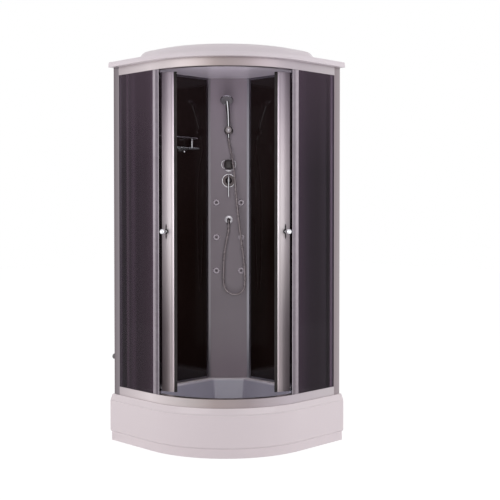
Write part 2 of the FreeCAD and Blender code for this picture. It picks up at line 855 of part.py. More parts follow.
def make_edge_seals():
    # U-shaped strips on the free edges of the fixed panes, between the two rails
    seals = []
    for side in ("left", "right"):
        body = new_body(f"edge_seal_{side}")
        outline = sketch_on(body, "XY_Plane", (0, 0, bottom_rail_top + seat_gap))
        near = centre_back - seal_width_edge + seal_skin
        far = centre_back + seat_gap + seal_skin
        outer = (-pane_out - seat_gap - seal_skin, -pane_in + seat_gap + seal_skin)
        inner = (-pane_out - seat_gap, -pane_in + seat_gap)
        draw(outline, [mirrored_point(side, *corner) for corner in [
            (near, outer[0]), (far, outer[0]), (far, outer[1]), (near, outer[1]),
            (near, inner[1]), (centre_back + seat_gap, inner[1]),
            (centre_back + seat_gap, inner[0]), (near, inner[0]),
        ]])
        pad(body, outline, top_rail_low - bottom_rail_top - 2 * seat_gap)
        seals.append(body)
    piece("edge_seals", grouped("edge_seals", seals))


# ---------------------------------------------------------------- column, its trims, ceiling and roof

def in_corner(side, along, out):
    # A point in the column's own frame, given along one wall from the corner and out from that wall.
    across = (along - out) / root(as_size(2))
    depth = column_back - (along + out) / root(as_size(2))
    return (-across if side == "left" else across, depth)


def stand_at_column(item, across=0, depth=0, height=0):
    # The column's frame: X across, Y into the corner, Z up, with the column's face at Y = 0.
    offset = column_back / root(as_size(2))
    item.Placement = FreeCAD.Placement(FreeCAD.Vector(), FreeCAD.Rotation(FreeCAD.Vector(0, 0, 1), 45))
    bind(item, "Placement.Base.x", -half + offset + (as_size(across) - depth) / root(as_size(2)))
    bind(item, "Placement.Base.y", half - offset + (as_size(across) + depth) / root(as_size(2)))
    bind(item, "Placement.Base.z", height)
    return item


mixer_z = size("mixer_z", 1458, "height of the mixer")
diverter_z = size("diverter_z", 1556, "height of the diverter")
outlet_z = size("hose_outlet_z", 1223, "height of the hose outlet")
holder_z = size("holder_z", 1759, "height of the handset holder")
jet_x = size("jet_x", 75, "jets to the side of the column's middle")
jet_top = size("jet_top", 1326, "height of the upper jets")
jet_middle = size("jet_middle", 1116, "height of the middle jets")
jet_low = size("jet_low", 913, "height of the lower jets")
mixer_hole = size("mixer_hole", 24, "radius of the hole for the mixer")
diverter_hole = size("diverter_hole", 17, "radius of the hole for the diverter")
outlet_hole = size("outlet_hole", 11, "radius of the hole for the hose outlet")
jet_hole = size("jet_hole", 15, "radius of the holes for the jets")
hole_clearance = size("hole_clearance", 0.5, "shanks clear of the column's holes")


def jet_spots():
    return [(side, height) for height in (jet_top, jet_middle, jet_low) for side in (-jet_x, jet_x)]


def make_column():
    body = new_body("column_panel")
    low = tray_height + seat_gap
    height = ceiling_height - seat_gap - low
    plane = column_back * root(as_size(2))
    back = plane - column_plate * root(as_size(2))
    inner = panel_set - seat_gap
    outline = sketch_on(body, "XY_Plane", (0, 0, low))
    left = [
        (column_edge + column_flange, wall_space), (column_edge + column_flange, inner),
        (plane - inner, inner),
    ]
    right = left[::-1]
    draw(outline, [in_corner("left", *corner) for corner in left]
         + [in_corner("right", *corner) for corner in right]
         + [in_corner("right", back - wall_space, wall_space)]
         + [in_corner("left", back - wall_space, wall_space)])
    pad(body, outline, height)
    holes = sketch_on(body, "XZ_Plane")
    draw_circle(holes, 0, mixer_z, mixer_hole)
    draw_circle(holes, 0, diverter_z, diverter_hole)
    draw_circle(holes, 0, outlet_z, outlet_hole)
    for across, height in jet_spots():
        draw_circle(holes, across, height, jet_hole)
    pocket(body, holes, 2 * column_plate)
    stand_at_column(body)
    piece("column_panel", body)

    trims = []
    slant = root(as_size(2))
    for side in ("left", "right"):
        trim = new_body(f"column_trim_{side}")
        outline = sketch_on(trim, "XY_Plane", (0, 0, low))
        face = panel_face + seat_gap
        sum_in = plane + seat_gap * slant
        sum_out = sum_in + trim_skin * slant
        bend_in = sum_in - face
        bend_out = sum_out - face - trim_skin
        run = trim_leg / slant
        draw(outline, [in_corner(side, *corner) for corner in [
            (bend_in + trim_leg, face), (bend_in + trim_leg, face + trim_skin), (bend_out, face + trim_skin),
            (bend_out - run, face + trim_skin + run), (bend_in - run, face + run), (bend_in, face),
        ]])
        pad(trim, outline, ceiling_height - seat_gap - low)
        trims.append(trim)
    corner = stand_at_column(grouped("column_corner_trims", trims))
    strips = []
    for side in ("left", "right"):
        start = frame_inset + jamb_depth + jamb_leg + seat_gap
        end = square - (bend_in + trim_leg + seat_gap)
        first = mirrored_point(side, panel_face + seat_gap, start)
        second = mirrored_point(side, panel_face + seat_gap + trim_skin, end)
        for level, bottom in (("low", low), ("high", ceiling_height - seat_gap - panel_trim)):
            near_corner = (lesser(first[0], second[0]), lesser(first[1], second[1]), bottom)
            far_corner = (greater(first[0], second[0]), greater(first[1], second[1]), bottom + panel_trim)
            strips.append(box(f"panel_trim_{side}_{level}", near_corner, far_corner))
    piece("column_trims", grouped("column_trims", [corner] + strips))


def make_roof():
    ceiling = new_body("ceiling_panel")
    outline = sketch_on(ceiling, "XY_Plane", (0, 0, ceiling_height + seat_gap))
    quadrant(outline, frame_line, -wall_space)
    pad(ceiling, outline, ceiling_skin)
    piece("ceiling_panel", ceiling)

    roof = new_body("roof_cover")
    skin = roof_skin
    rim_low = ceiling_height - roof_drop
    rim_high = rim_low + roof_rim
    low = sketch_on(roof, "XY_Plane", (0, 0, rim_low))
    quadrant(low, roof_out, 0)
    high = sketch_on(roof, "XY_Plane", (0, 0, rim_high))
    quadrant(high, roof_out - roof_batter, 0)
    loft(roof, "AdditiveLoft", [low, high])
    foot = sketch_on(roof, "XY_Plane", (0, 0, rim_high))
    soft_quadrant(foot, dome_inset, dome_inset, dome_corner)
    crown = sketch_on(roof, "XY_Plane", (0, 0, cabin_height))
    soft_quadrant(crown, dome_inset + dome_slope, dome_inset + dome_slope, dome_corner)
    loft(roof, "AdditiveLoft", [foot, crown])
    seat = sketch_on(roof, "XY_Plane", (0, 0, ceiling_top + seat_gap))
    quadrant(seat, frame_line + seat_gap, 1)
    pocket(roof, seat, ceiling_top + seat_gap - rim_low + 1)
    core = sketch_on(roof, "XY_Plane", (0, 0, rim_high - skin))
    quadrant(core, roof_out - roof_batter - skin, -skin)
    pocket(roof, core, roof_rim - 2 * skin)
    inner_foot = sketch_on(roof, "XY_Plane", (0, 0, rim_high - skin))
    soft_quadrant(inner_foot, dome_inset + skin, dome_inset + skin, dome_corner)
    inner_crown = sketch_on(roof, "XY_Plane", (0, 0, cabin_height - skin))
    soft_quadrant(inner_crown, dome_inset + dome_slope + skin, dome_inset + dome_slope + skin, dome_corner)
    last = loft(roof, "SubtractiveLoft", [inner_foot, inner_crown])
    last = rounded(roof, last, dome_fillet, lambda edge: level_edge(edge, cabin_height))
    face = half + roof_out - roof_batter - 1

    def on_rim(edge):
        if not level_edge(edge, rim_high):
            return False
        middle = edge.valueAt((edge.FirstParameter + edge.LastParameter) / 2)
        from_bend = math.hypot(middle.x + reach.value, middle.y - reach.value)
        out = max(middle.x, -middle.y, from_bend - bend.value + half.value)
        return out > face.value and (middle.x - middle.y) > half.value

    rounded(roof, last, roof_fillet, on_rim)
    piece("roof_cover", roof)


# ---------------------------------------------------------------- doors

# Each door hangs from two rollers on the top rail and is held by two on the bottom rail. Shut, all of
# them stand on the bend. Open, the front ones stand on the bend and the rear ones on the rail's straight
# end. One turn about a fixed pole carries the door between these two places.
track = worked("track", bend - track_inset)
past_bend = worked("past_bend", centre_back - open_stop)
roller_chord = worked("roller_chord", 2 * track * sine((rear_roller - front_roller) / 2))
rear_reach = worked("rear_reach", root(past_bend * past_bend + track * track))
open_angle = worked("open_angle", arc_cosine(
    (track * track + rear_reach * rear_reach - roller_chord * roller_chord) / (2 * track * rear_reach))
    - arc_tangent(past_bend / track))
open_slope = worked("open_slope", arc_tangent(
    track * (1 - cosine(open_angle)) / (past_bend + track * sine(open_angle))))
swing = worked("swing", 45 - (front_roller + rear_roller) / 2 - open_slope)
shut_along = worked("shut_along", -track * sine(45 - rear_roller))
shut_out = worked("shut_out", track * cosine(45 - rear_roller))
half_cotangent = worked("half_cotangent", 1 / (2 * tangent(swing / 2)))
# the pole from the bend's centre: along the straight end, and out towards the front
pole_along = worked("pole_along", (shut_along + past_bend) / 2 + (shut_out - track) * half_cotangent)
pole_out = worked("pole_out", (shut_out + track) / 2 - (past_bend - shut_along) * half_cotangent)


def hang(item, side, angle=0):
    # Doors are modelled shut, about the bend's centre with X along the meeting line, then swung open.
    # A piece modelled on the X axis itself goes to its own angle from the meeting line.
    sign = -1 if side == "left" else 1
    pole = (-reach - pole_along, reach - pole_out)
    if side == "right":
        pole = (-pole[1], -pole[0])
    turn = swing * sign
    from_pole = (-reach - pole[0], reach - pole[1])
    item.Placement = FreeCAD.Placement(FreeCAD.Vector(), FreeCAD.Rotation(FreeCAD.Vector(0, 0, 1), 10))
    bind(item, "Placement.Rotation.Angle", 315 + turn + sign * angle)
    bind(item, "Placement.Base.x", pole[0] + from_pole[0] * cosine(turn) - from_pole[1] * sine(turn))
    bind(item, "Placement.Base.y", pole[1] + from_pole[0] * sine(turn) + from_pole[1] * cosine(turn))
    return item


def polar(side, radius, angle):
    sign = -1 if side == "left" else 1
    return (radius * cosine(angle), radius * sine(angle) * sign)


def sector(sketch, side, rings):
    # A closed outline of radial lines and arcs: each entry is (radius, angle), in order.
    sign = -1 if side == "left" else 1
    corners = []
    for index, (radius, angle) in enumerate(rings):
        following = rings[(index + 1) % len(rings)]
        spot = polar(side, radius, angle)
        if abs(following[1].value - angle.value) < 1e-9:
            corners.append(spot)
        else:
            turn = sign if following[1].value > angle.value else -sign
            corners.append(spot + (radius, turn))
    draw(sketch, corners)


glass_low = worked("glass_low", bottom_rail_top + door_gap)
glass_high = worked("glass_high", top_rail_low - door_gap)
glass_inner = worked("glass_inner", door_glass_radius - glass_thickness)
start_angle = worked("start_angle", arc_tangent(meeting_gap / 2 / door_glass_radius))
stile_start = worked("stile_start", start_angle + seal_width)
stile_end = worked("stile_end", stile_start + stile_width)
gap_angle = worked("gap_angle", arc_tangent(seat_gap / door_glass_radius))
stile_web = worked("stile_web", arc_tangent(stile_skin / door_glass_radius))
strip_web = worked("strip_web", arc_tangent(strip_skin / door_glass_radius))
clamp_hole = size("clamp_hole", 6, "radius of the holes that the roller clamps pass through")
clamp_drop = size("clamp_drop", 22, "clamp bolts from the glass's edge")
hanger_skin = size("hanger_skin", 3, "thickness of the roller hangers")
hanger_width = size("hanger_width", 14, "width of the roller hangers")
hanger_set = size("hanger_set", 1.2, "hangers clear of the curved glass")
knob_z = size("knob_z", 1168, "height of the door knobs")
knob_angle = size("knob_angle", 6.7, "angle of the door knobs from the meeting line")
knob_radius = size("knob_radius", 16, "radius of the knobs' heads")
knob_reach = size("knob_reach", 56, "knobs in front of the profile")
knob_stem = size("knob_stem", 5, "radius of the knobs' stems")
rose_radius = size("rose_radius", 13.5, "radius of the rosette under a knob")
rose_height = size("rose_height", 6, "height of that rosette")
bar_length = size("bar_length", 84, "length of the plate under a knob")
bar_width = size("bar_width", 8, "width of that plate")
bar_height = size("bar_height", 3, "height of that plate")


def roller_heights():
    upper = top_rail_low + frame_wall + seat_gap + roller_radius
    lower = bottom_rail_top - frame_wall - seat_gap - roller_radius
    return {"upper": upper, "lower": lower}


def roller_angles():
    return {"front": front_roller, "rear": rear_roller}


def bored_at(name, base, side, spots):
    # Round holes through a curved piece: each spot is (angle from the meeting line, height, radius).
    sign = -1 if side == "left" else 1
    cuts = []
    for index, (angle, height, radius) in enumerate(spots):
        cut = rod(f"{name}_hole_{index}", (0, 0, height), door_glass_radius + bar_length, radius, (1, 0, 0))
        spun = grouped(f"{name}_cut_{index}", [cut])
        turn = FreeCAD.Rotation(FreeCAD.Vector(0, 0, sign), 10)
        spun.Placement = FreeCAD.Placement(FreeCAD.Vector(), turn)
        bind(spun, "Placement.Rotation.Angle", angle)
        cuts.append(spun)
    return less(name, base, cuts)


def channel(name, side, first, last, web, skin, opens_up):
    # A U-section bent round the bend, with the pane between its legs.
    body = new_body(name)
    outline = sketch_on(body, "XY_Plane", (0, 0, glass_low))
    out = door_glass_radius + seat_gap
    back = glass_inner - seat_gap
    if opens_up:
        sector(outline, side, [
            (out + skin, first), (out + skin + nose_out, first + nose_width / 4),
            (out + skin + nose_out, first + nose_width * 0.75), (out + skin, first + nose_width),
            (out + skin, last), (out, last), (out, first + web),
            (back, first + web), (back, last), (back - skin, last), (back - skin, first)])
    else:
        sector(outline, side, [
            (out + skin, first), (out + skin, last), (back - skin, last), (back - skin, first),
            (back, first), (back, last - web), (out, last - web), (out, first)])
    pad(body, outline, glass_high - glass_low)
    return body


def make_door(side):
    face = door_glass_radius
    glass = new_body(f"door_pane_{side}")
    outline = sketch_on(glass, "XY_Plane", (0, 0, glass_low))
    first = stile_start + stile_web + gap_angle
    last = door_span - strip_web - gap_angle
    sector(outline, side, [(glass_inner, first), (face, first), (face, last), (glass_inner, last)])
    pad(glass, outline, glass_high - glass_low)
    clamps = []
    for angle in roller_angles().values():
        for height in (glass_high - clamp_drop, glass_low + clamp_drop):
            clamps.append((angle, height, clamp_hole + hole_clearance))
    knob_spot = (knob_angle, knob_z, knob_stem + hole_clearance)
    name = f"door_glass_{side}"
    piece(name, hang(bored_at(name, glass, side, clamps + [knob_spot]), side))

    name = f"door_stile_{side}"
    stile = channel(f"stile_section_{side}", side, stile_start, stile_end, stile_web, stile_skin, True)
    piece(name, hang(bored_at(name, stile, side, [knob_spot]), side))
    name = f"rear_strip_{side}"
    strip = channel(name, side, door_span - strip_width, door_span, strip_web, strip_skin, False)
    piece(name, hang(strip, side))

    name = f"magnet_seal_{side}"
    seal = new_body(name)
    outline = sketch_on(seal, "XY_Plane", (0, 0, glass_low))
    inner, outer = glass_inner - stile_skin, face + stile_skin
    last = stile_start - gap_angle
    sector(outline, side, [(inner, start_angle), (outer, start_angle), (outer, last), (inner, last)])
    pad(seal, outline, glass_high - glass_low)
    piece(name, hang(seal, side))

    name = f"door_knob_{side}"
    outside = face + seat_gap + stile_skin + seat_gap
    inside = glass_inner - seat_gap - stile_skin - seat_gap
    head = new_body(f"knob_head_{side}")
    outline = sketch_on(head, "XY_Plane")
    top = outside + knob_reach
    draw(outline, [
        (inside - rose_height, 0), (inside - rose_height, rose_radius), (inside, rose_radius),
        (inside, knob_stem), (outside + knob_reach / 2, knob_stem),
        (top - knob_radius, knob_radius * 0.8), (top - knob_radius * 0.8, knob_radius),
        (top - knob_radius * 0.4, knob_radius, knob_radius * 0.45, -1),
        (top, knob_radius * 0.6), (top, 0),
    ])
    turned(head, outline, "H_Axis")
    bind(head, "Placement.Base.z", knob_z)
    rose = rod(f"knob_rose_{side}", (outside, 0, knob_z), rose_height, rose_radius, (1, 0, 0))
    bar = box(f"knob_bar_{side}", (outside, -bar_width / 2, knob_z - bar_length / 2),
              (outside + bar_height, bar_width / 2, knob_z + bar_length / 2))
    shank = rod(f"knob_way_{side}", (outside - 1, 0, knob_z), rose_height + 2, knob_stem + seat_gap,
                (1, 0, 0))
    plate = less(f"knob_plate_{side}", joined(f"knob_disc_{side}", [rose, bar]), [shank])
    piece(name, hang(grouped(name, [head, plate]), side, knob_angle))

    hangers = []
    for place, angle in roller_angles().items():
        for level, height in roller_heights().items():
            hangers.append(make_hanger(f"{side}_{place}_{level}", level, height, side, angle))
            roller = new_body(f"roller_{level}_{place}_{side}")
            outline = sketch_on(roller, "XY_Plane")
            near, far = track - roller_width / 2, track + roller_width / 2
            bore = axle_radius + axle_clearance
            bevel = roller_width / 6
            draw(outline, [
                (near, bore), (near, roller_radius - bevel), (near + bevel, roller_radius),
                (far - bevel, roller_radius), (far, roller_radius - bevel), (far, bore)])
            turned(roller, outline, "H_Axis")
            hang(roller, side, angle)
            bind(roller, "Placement.Base.z", height)
            piece(f"roller_{level}_{place}_{side}", roller)
    name = f"roller_carriers_{side}"
    piece(name, grouped(name, hangers))


def make_hanger(tag, level, height, side, angle):
    # A plate inside the pane, clamped through a hole, with the axle that reaches out over the rail's lip.
    plate_out = glass_inner - hanger_set
    plate_in = plate_out - hanger_skin
    side_to_side = hanger_width / 2
    clamp_z = glass_high - clamp_drop if level == "upper" else glass_low + clamp_drop
    spread = 2 * clamp_hole
    low, high = (clamp_z - spread, height + 2 * axle_radius)
    if level == "lower":
        low, high = (height - 2 * axle_radius, clamp_z + spread)
    cap = door_glass_radius + seat_gap
    near = track - roller_width / 2 - seat_gap
    far = track + roller_width / 2 + seat_gap
    parts = [
        box(f"hanger_plate_{tag}", (plate_in, -side_to_side, low), (plate_out, side_to_side, high)),
        rod(f"hanger_boss_{tag}", (plate_in, 0, clamp_z), cap - plate_in, clamp_hole, (1, 0, 0)),
        rod(f"hanger_cap_{tag}", (cap, 0, clamp_z), hanger_skin, spread, (1, 0, 0)),
        rod(f"hanger_axle_{tag}", (plate_in, 0, height), far + 1 - plate_in, axle_radius, (1, 0, 0)),
        rod(f"hanger_collar_{tag}", (plate_out, 0, height), near - plate_out, 2 * axle_radius, (1, 0, 0)),
        rod(f"hanger_head_{tag}", (far, 0, height), axle_radius / 2, 2 * axle_radius, (1, 0, 0)),
    ]
    return hang(joined(f"hanger_{tag}", parts), side, angle)


# ---------------------------------------------------------------- fittings on the column

valve_width = size("valve_width", 46, "width of the valve body")
valve_depth = size("valve_depth", 36, "depth of the valve body")
valve_back = size("valve_back", 10, "valve body behind the column's face")
cartridge = size("cartridge", 20, "radius of the mixer's cartridge")
spindle = size("spindle", 7.95, "radius of the mixer's and the diverter's spindles")
spindle_fit = size("spindle_fit", 0.05, "running clearance on the spindles")
inlet_radius = size("inlet_radius", 10.5, "radius of the inlet nipples")
inlet_length = size("inlet_length", 22, "length of the inlet nipples")
inlet_spread = size("inlet_spread", 34, "inlets to the side of the middle")
pipe_radius = size("pipe_radius", 6, "radius of the water pipes")
plate_radius = size("mixer_plate_radius", 41, "radius of the mixer's plate")
plate_thick = size("mixer_plate_thickness", 6, "thickness of the mixer's plate")
hub_radius = size("hub_radius", 21, "radius of the mixer's hub")
hub_length = size("hub_length", 32, "length of the mixer's hub")
lever_width = size("lever_width", 12, "width of the mixer's lever")
lever_thick = size("lever_thickness", 8, "thickness of the mixer's lever")
lever_up = size("lever_up", 30, "lever above the mixer's middle")
lever_down = size("lever_down", 100, "lever below the mixer's middle")
diverter_half = size("diverter_half", 30, "half width of the diverter's handle")
diverter_thick = size("diverter_thickness", 20, "thickness of the diverter's handle")
ring_out = size("ring_out", 48, "outer radius of the bows beside that handle")
ring_in = size("ring_in", 42, "inner radius of those bows")
flange_radius = size("jet_flange_radius", 21, "radius of the jets' flanges")
ball_radius = size("ball_radius", 9.7, "radius of the nozzles' balls")
rose_out = size("outlet_rose_radius", 25.5, "radius of the outlet's rosette")
elbow_radius = size("elbow_radius", 9, "radius of the outlet's elbow")
elbow_out = size("elbow_out", 36, "outlet's elbow in front of the column")
elbow_drop = size("elbow_drop", 26, "outlet's end below its middle")
holder_radius = size("holder_radius", 23, "radius of the handset's holder")
holder_out = size("holder_out", 54, "middle of the holder in front of the column")
holder_length = size("holder_length", 30, "length of the holder's cradle")
handset_tilt = size("handset_tilt", 12, "tilt of the handset, degrees")
handle_radius = size("handle_radius", 11, "radius of the handset in its holder")
handle_low = size("handle_low", 45, "handset below the holder's middle")
handle_high = size("handle_high", 170, "handset above the holder's middle")
handle_fat = size("handle_fat", 13.5, "largest radius of the handle")
head_radius = size("head_radius", 39, "radius of the handset's head")
head_depth = size("head_depth", 22, "depth of the handset's head")
head_tilt = size("head_tilt", 40, "downward tilt of the head's face, degrees")
hose_radius = size("hose_radius", 5.75, "radius of the hose")
nut_wall = size("hose_nut_wall", 1.25, "handset's low end over the hose")
hose_gap = size("hose_gap", 0.7, "handset's low end clear of the hose, so that it swings")
hose_straight_top = size("hose_straight_top", 32, "hose straight out of the handset")
hose_straight_low = size("hose_straight_low", 46, "hose straight into the outlet")


def make_valve():
    front = valve_back
    back = valve_back + valve_depth
    low = mixer_z - 1.5 * cartridge
    high = diverter_z + 1.5 * diverter_hole
    seat = plate_thick + hub_length / 2
    parts = [
        box("valve_block", (-valve_width / 2, front, low), (valve_width / 2, back, high)),
        rod("valve_cartridge", (0, -plate_thick, mixer_z), front + plate_thick, cartridge, (0, 1, 0)),
        rod("valve_spindle", (0, -seat, mixer_z), front + seat, spindle, (0, 1, 0)),
        rod("valve_neck", (0, 0, diverter_z), front, diverter_hole - hole_clearance, (0, 1, 0)),
        rod("valve_stem", (0, -seat + plate_thick, diverter_z), front + seat - plate_thick, spindle,
            (0, 1, 0)),
        rod("valve_arms", (-inlet_spread, back - inlet_radius, mixer_z), 2 * inlet_spread, inlet_radius,
            (1, 0, 0)),
    ]
    root_end = back + seat_gap
    for index, across in enumerate((-inlet_spread, inlet_spread)):
        axis = (across, back - inlet_radius, mixer_z)
        parts.append(rod(f"valve_collar_{index}", axis, inlet_radius + seat_gap, inlet_radius * 1.25,
                         (0, 1, 0)))
        parts.append(rod(f"valve_inlet_{index}", axis, root_end + inlet_length - back + inlet_radius,
                         inlet_radius, (0, 1, 0)))
    piece("valve_body", stand_at_column(joined("valve_body", parts)))

    # pipes: one crossbar with two risers for the jets, and one pipe down to the hose outlet
    depth = 2 * valve_back + pipe_radius + seat_gap
    rear = depth + 2 * pipe_radius + 2
    cross = jet_top + (mixer_z - jet_top) / 2
    elbow = pipe_radius * 1.25
    top = low - seat_gap
    pipes = [
        rod("pipe_feed", (-2 * pipe_radius, depth, cross), top - cross, pipe_radius),
        rod("pipe_cross", (-jet_x, depth, cross), 2 * jet_x, pipe_radius, (1, 0, 0)),
    ]
    for index, across in enumerate((-jet_x, jet_x)):
        pipes.append(rod(f"pipe_riser_{index}", (across, depth, jet_low), cross - jet_low, pipe_radius))
        for corner, height in enumerate((jet_low, cross)):
            pipes.append(ball(f"pipe_elbow_{index}_{corner}", (across, depth, height), elbow))
    jets = joined("jet_pipes", pipes)
    outlet = joined("outlet_pipe", [
        rod("pipe_drop", (2 * pipe_radius, rear, outlet_z), top - outlet_z, pipe_radius),
        rod("pipe_tee", (0, rear, outlet_z), 2 * pipe_radius, pipe_radius, (1, 0, 0)),
        rod("pipe_forward", (0, 2 * valve_back + seat_gap, outlet_z), rear - 2 * valve_back, pipe_radius,
            (0, 1, 0)),
        ball("pipe_elbow_low", (2 * pipe_radius, rear, outlet_z), elbow),
        ball("pipe_elbow_end", (0, rear, outlet_z), elbow),
    ])
    piece("water_pipes", stand_at_column(grouped("water_pipes", [jets, outlet])))


def make_mixer():
    plate = new_body("mixer_plate")
    outline = sketch_on(plate, "XY_Plane")
    back = -seat_gap
    draw(outline, [
        (cartridge + seat_gap, back), (plate_radius, back), (plate_radius, back - plate_thick / 3),
        (plate_radius - plate_thick, back - plate_thick), (cartridge + seat_gap, back - plate_thick)])
    turned(plate, outline)
    piece("mixer_plate", stand_at_column(plate, height=mixer_z))

    hub = new_body("lever_hub")
    outline = sketch_on(hub, "XY_Plane")
    near = -plate_thick - 2 * seat_gap
    far = near - hub_length
    bore = spindle + spindle_fit
    depth = -plate_thick - hub_length / 2 - seat_gap
    draw(outline, [
        (bore, near), (hub_radius, near), (hub_radius, far + 4),
        (hub_radius - 4, far), (0, far), (0, depth), (bore, depth)])
    turned(hub, outline)
    blade = box("lever_blade", (-lever_width / 2, far - lever_thick + 2, -lever_down),
                (lever_width / 2, far + 2, lever_up))
    piece("mixer_lever", stand_at_column(joined("mixer_lever", [hub, blade]), height=mixer_z))

    handle = new_body("diverter_handle")
    outline = sketch_on(handle, "XZ_Plane")
    side = diverter_half
    corner = side / 4
    draw(outline, [
        (-side, -side + corner, corner, 1), (-side + corner, -side), (side - corner, -side, corner, 1),
        (side, -side + corner), (side, side - corner, corner, 1), (side - corner, side),
        (-side + corner, side, corner, 1), (-side, side - corner)])
    pad(handle, outline, diverter_thick)
    way = rod("diverter_way", (0, -hub_length / 2 - seat_gap, 0), hub_length, spindle + spindle_fit,
              (0, 1, 0))
    disc = rod("bow_disc", (0, -diverter_thick, 0), diverter_thick / 2, ring_out, (0, 1, 0))
    bow = less("diverter_ring", disc, [
        rod("bow_hole", (0, -2 * diverter_thick, 0), 2 * diverter_thick, ring_in, (0, 1, 0)),
        box("bow_top", (-ring_out, -2 * diverter_thick, side), (ring_out, 0, ring_out + 1)),
        box("bow_low", (-ring_out, -2 * diverter_thick, -ring_out - 1), (ring_out, 0, -side))])
    near = -diverter_thick * 0.8
    spoke = box("bow_spoke", (-ring_in - 2, near, -corner), (ring_in + 2, -diverter_thick / 2, corner))
    pointer = box("bow_pointer", (-corner, near, -side - 2 * corner), (corner, -diverter_thick / 2, 0))
    knob = less("diverter_knob", joined("diverter_solid", [handle, bow, spoke, pointer]), [way])
    piece("diverter_knob", stand_at_column(knob, depth=-seat_gap, height=diverter_z))


def make_jets():
    housing = new_body("jet_housing")
    outline = sketch_on(housing, "XY_Plane")
    face = -seat_gap
    socket = ball_radius + seat_gap
    draw(outline, [
        (socket - 1, face - 3), (flange_radius - 3, face - 3), (flange_radius, face),
        (jet_hole - hole_clearance, face),
        (jet_hole - hole_clearance, 2 * valve_back - seat_gap), (jet_hole / 2, 2 * valve_back - seat_gap),
        (jet_hole / 2, socket + 2), (socket, 3), (socket, -1)])
    turned(housing, outline)
    housings = []
    for index, (across, height) in enumerate(jet_spots()):
        link = again(housing, f"jet_housing_{index + 1}")
        bind(link, "Placement.Base.x", across)
        bind(link, "Placement.Base.z", height)
        housings.append(link)
    piece("jet_housings", stand_at_column(grouped("jet_housings", housings)))

    nozzle = new_body("jet_nozzle")
    outline = sketch_on(nozzle, "XY_Plane")
    bore = ball_radius / 5
    deep = root(ball_radius * ball_radius - bore * bore)
    cut = ball_radius * 0.8
    front = root(ball_radius * ball_radius - cut * cut)
    draw(outline, [
        (bore, -cut + 1), (front - 1, -cut), (front, -cut, ball_radius, 1), (bore, deep)])
    turned(nozzle, outline)
    for index, (across, height) in enumerate(jet_spots()):
        name = f"jet_nozzle_{index + 1}"
        piece(name, stand_at_column(again(nozzle, name), across, 2, height))


def make_handset():
    base = new_body("holder_base")
    outline = sketch_on(base, "XY_Plane")
    near = -holder_out + holder_length / 2 + seat_gap
    draw(outline, [
        (0, -seat_gap), (holder_radius + 3, -seat_gap), (holder_radius + 3, -4), (holder_radius, -6),
        (holder_radius / 2, -8), (holder_radius / 2, near), (0, near)])
    turned(base, outline)
    piece("holder_base", stand_at_column(base, height=holder_z))

    cradle = new_body("cradle_block")
    outline = sketch_on(cradle, "XY_Plane")
    back = -holder_out + holder_length / 2
    front = -holder_out - holder_length / 2
    draw(outline, [
        (0, back), (holder_radius - 3, back), (holder_radius, back - 3), (holder_radius, front + 5),
        (holder_radius - 5, front), (0, front)])
    turned(cradle, outline)
    way = rod("cradle_way", (0, 0, -2 * holder_radius), 4 * holder_radius, handle_radius + seat_gap)
    way.Placement = FreeCAD.Placement(FreeCAD.Vector(), FreeCAD.Rotation(FreeCAD.Vector(1, 0, 0), 12))
    bind(way, "Placement.Rotation.Angle", handset_tilt)
    bind(way, "Placement.Base.y", -holder_out - 2 * holder_radius * -sine(handset_tilt))
    bind(way, "Placement.Base.z", -2 * holder_radius * cosine(handset_tilt))
    piece("holder_cradle", stand_at_column(less("holder_cradle", cradle, [way]), height=holder_z))

    handle = new_body("handset_handle")
    outline = sketch_on(handle, "XZ_Plane")
    stop = holder_radius + 1
    draw(outline, [
        (0, -handle_low), (hose_radius + nut_wall, -handle_low), (handle_radius, -stop),
        (handle_radius, stop), (handle_fat, stop + 3), (handle_fat, handle_high / 2),
        (handle_radius, handle_high), (0, handle_high)])
    turned(handle, outline)
    head = new_body("handset_head")
    outline = sketch_on(head, "XY_Plane")
    draw(outline, [
        (0, 0), (head_radius - 3, 0), (head_radius, 3), (head_radius, head_depth / 3),
        (handle_fat, head_depth), (0, head_depth)])
    turned(head, outline)
    head.Placement = FreeCAD.Placement(FreeCAD.Vector(), FreeCAD.Rotation(FreeCAD.Vector(1, 0, 0), 40))
    bind(head, "Placement.Rotation.Angle", head_tilt - handset_tilt)
    bind(head, "Placement.Base.y", -head_depth / 2)
    bind(head, "Placement.Base.z", handle_high)
    whole = joined("handset_whole", [handle, head])
    whole.Placement = FreeCAD.Placement(FreeCAD.Vector(), FreeCAD.Rotation(FreeCAD.Vector(1, 0, 0), 12))
    bind(whole, "Placement.Rotation.Angle", handset_tilt)
    bind(whole, "Placement.Base.y", -holder_out)
    bind(whole, "Placement.Base.z", holder_z)
    piece("handset", stand_at_column(grouped("handset", [whole])))


def make_outlet():
    near = -seat_gap
    parts = [
        rod("outlet_shank", (0, -elbow_out, outlet_z), elbow_out + 2 * valve_back, elbow_radius, (0, 1, 0)),
        rod("outlet_rose", (0, near - 6, outlet_z), 6, rose_out, (0, 1, 0)),
        rod("outlet_down", (0, -elbow_out, outlet_z - elbow_drop), elbow_drop, elbow_radius),
    ]
    parts.append(ball("outlet_ball", (0, -elbow_out, outlet_z), elbow_radius * 1.1))
    piece("hose_outlet", stand_at_column(joined("hose_outlet", parts)))


# the hose's way between its two end runs, in the column's frame: across, out, height
HOSE = [
    (14, 40, 1642),
    (31, 56, 1571),
    (43, 68, 1466),
    (50, 73, 1350),
    (58, 74, 1234),
    (72, 73, 1100),
    (92, 71, 985),
    (102, 68, 905),
    (103, 64, 812),
    (64, 58, 773),
    (9, 51, 773),
    (-30, 46, 812),
    (-31, 44, 900),
    (-28, 40, 1000),
    (-14, 37, 1095),
]


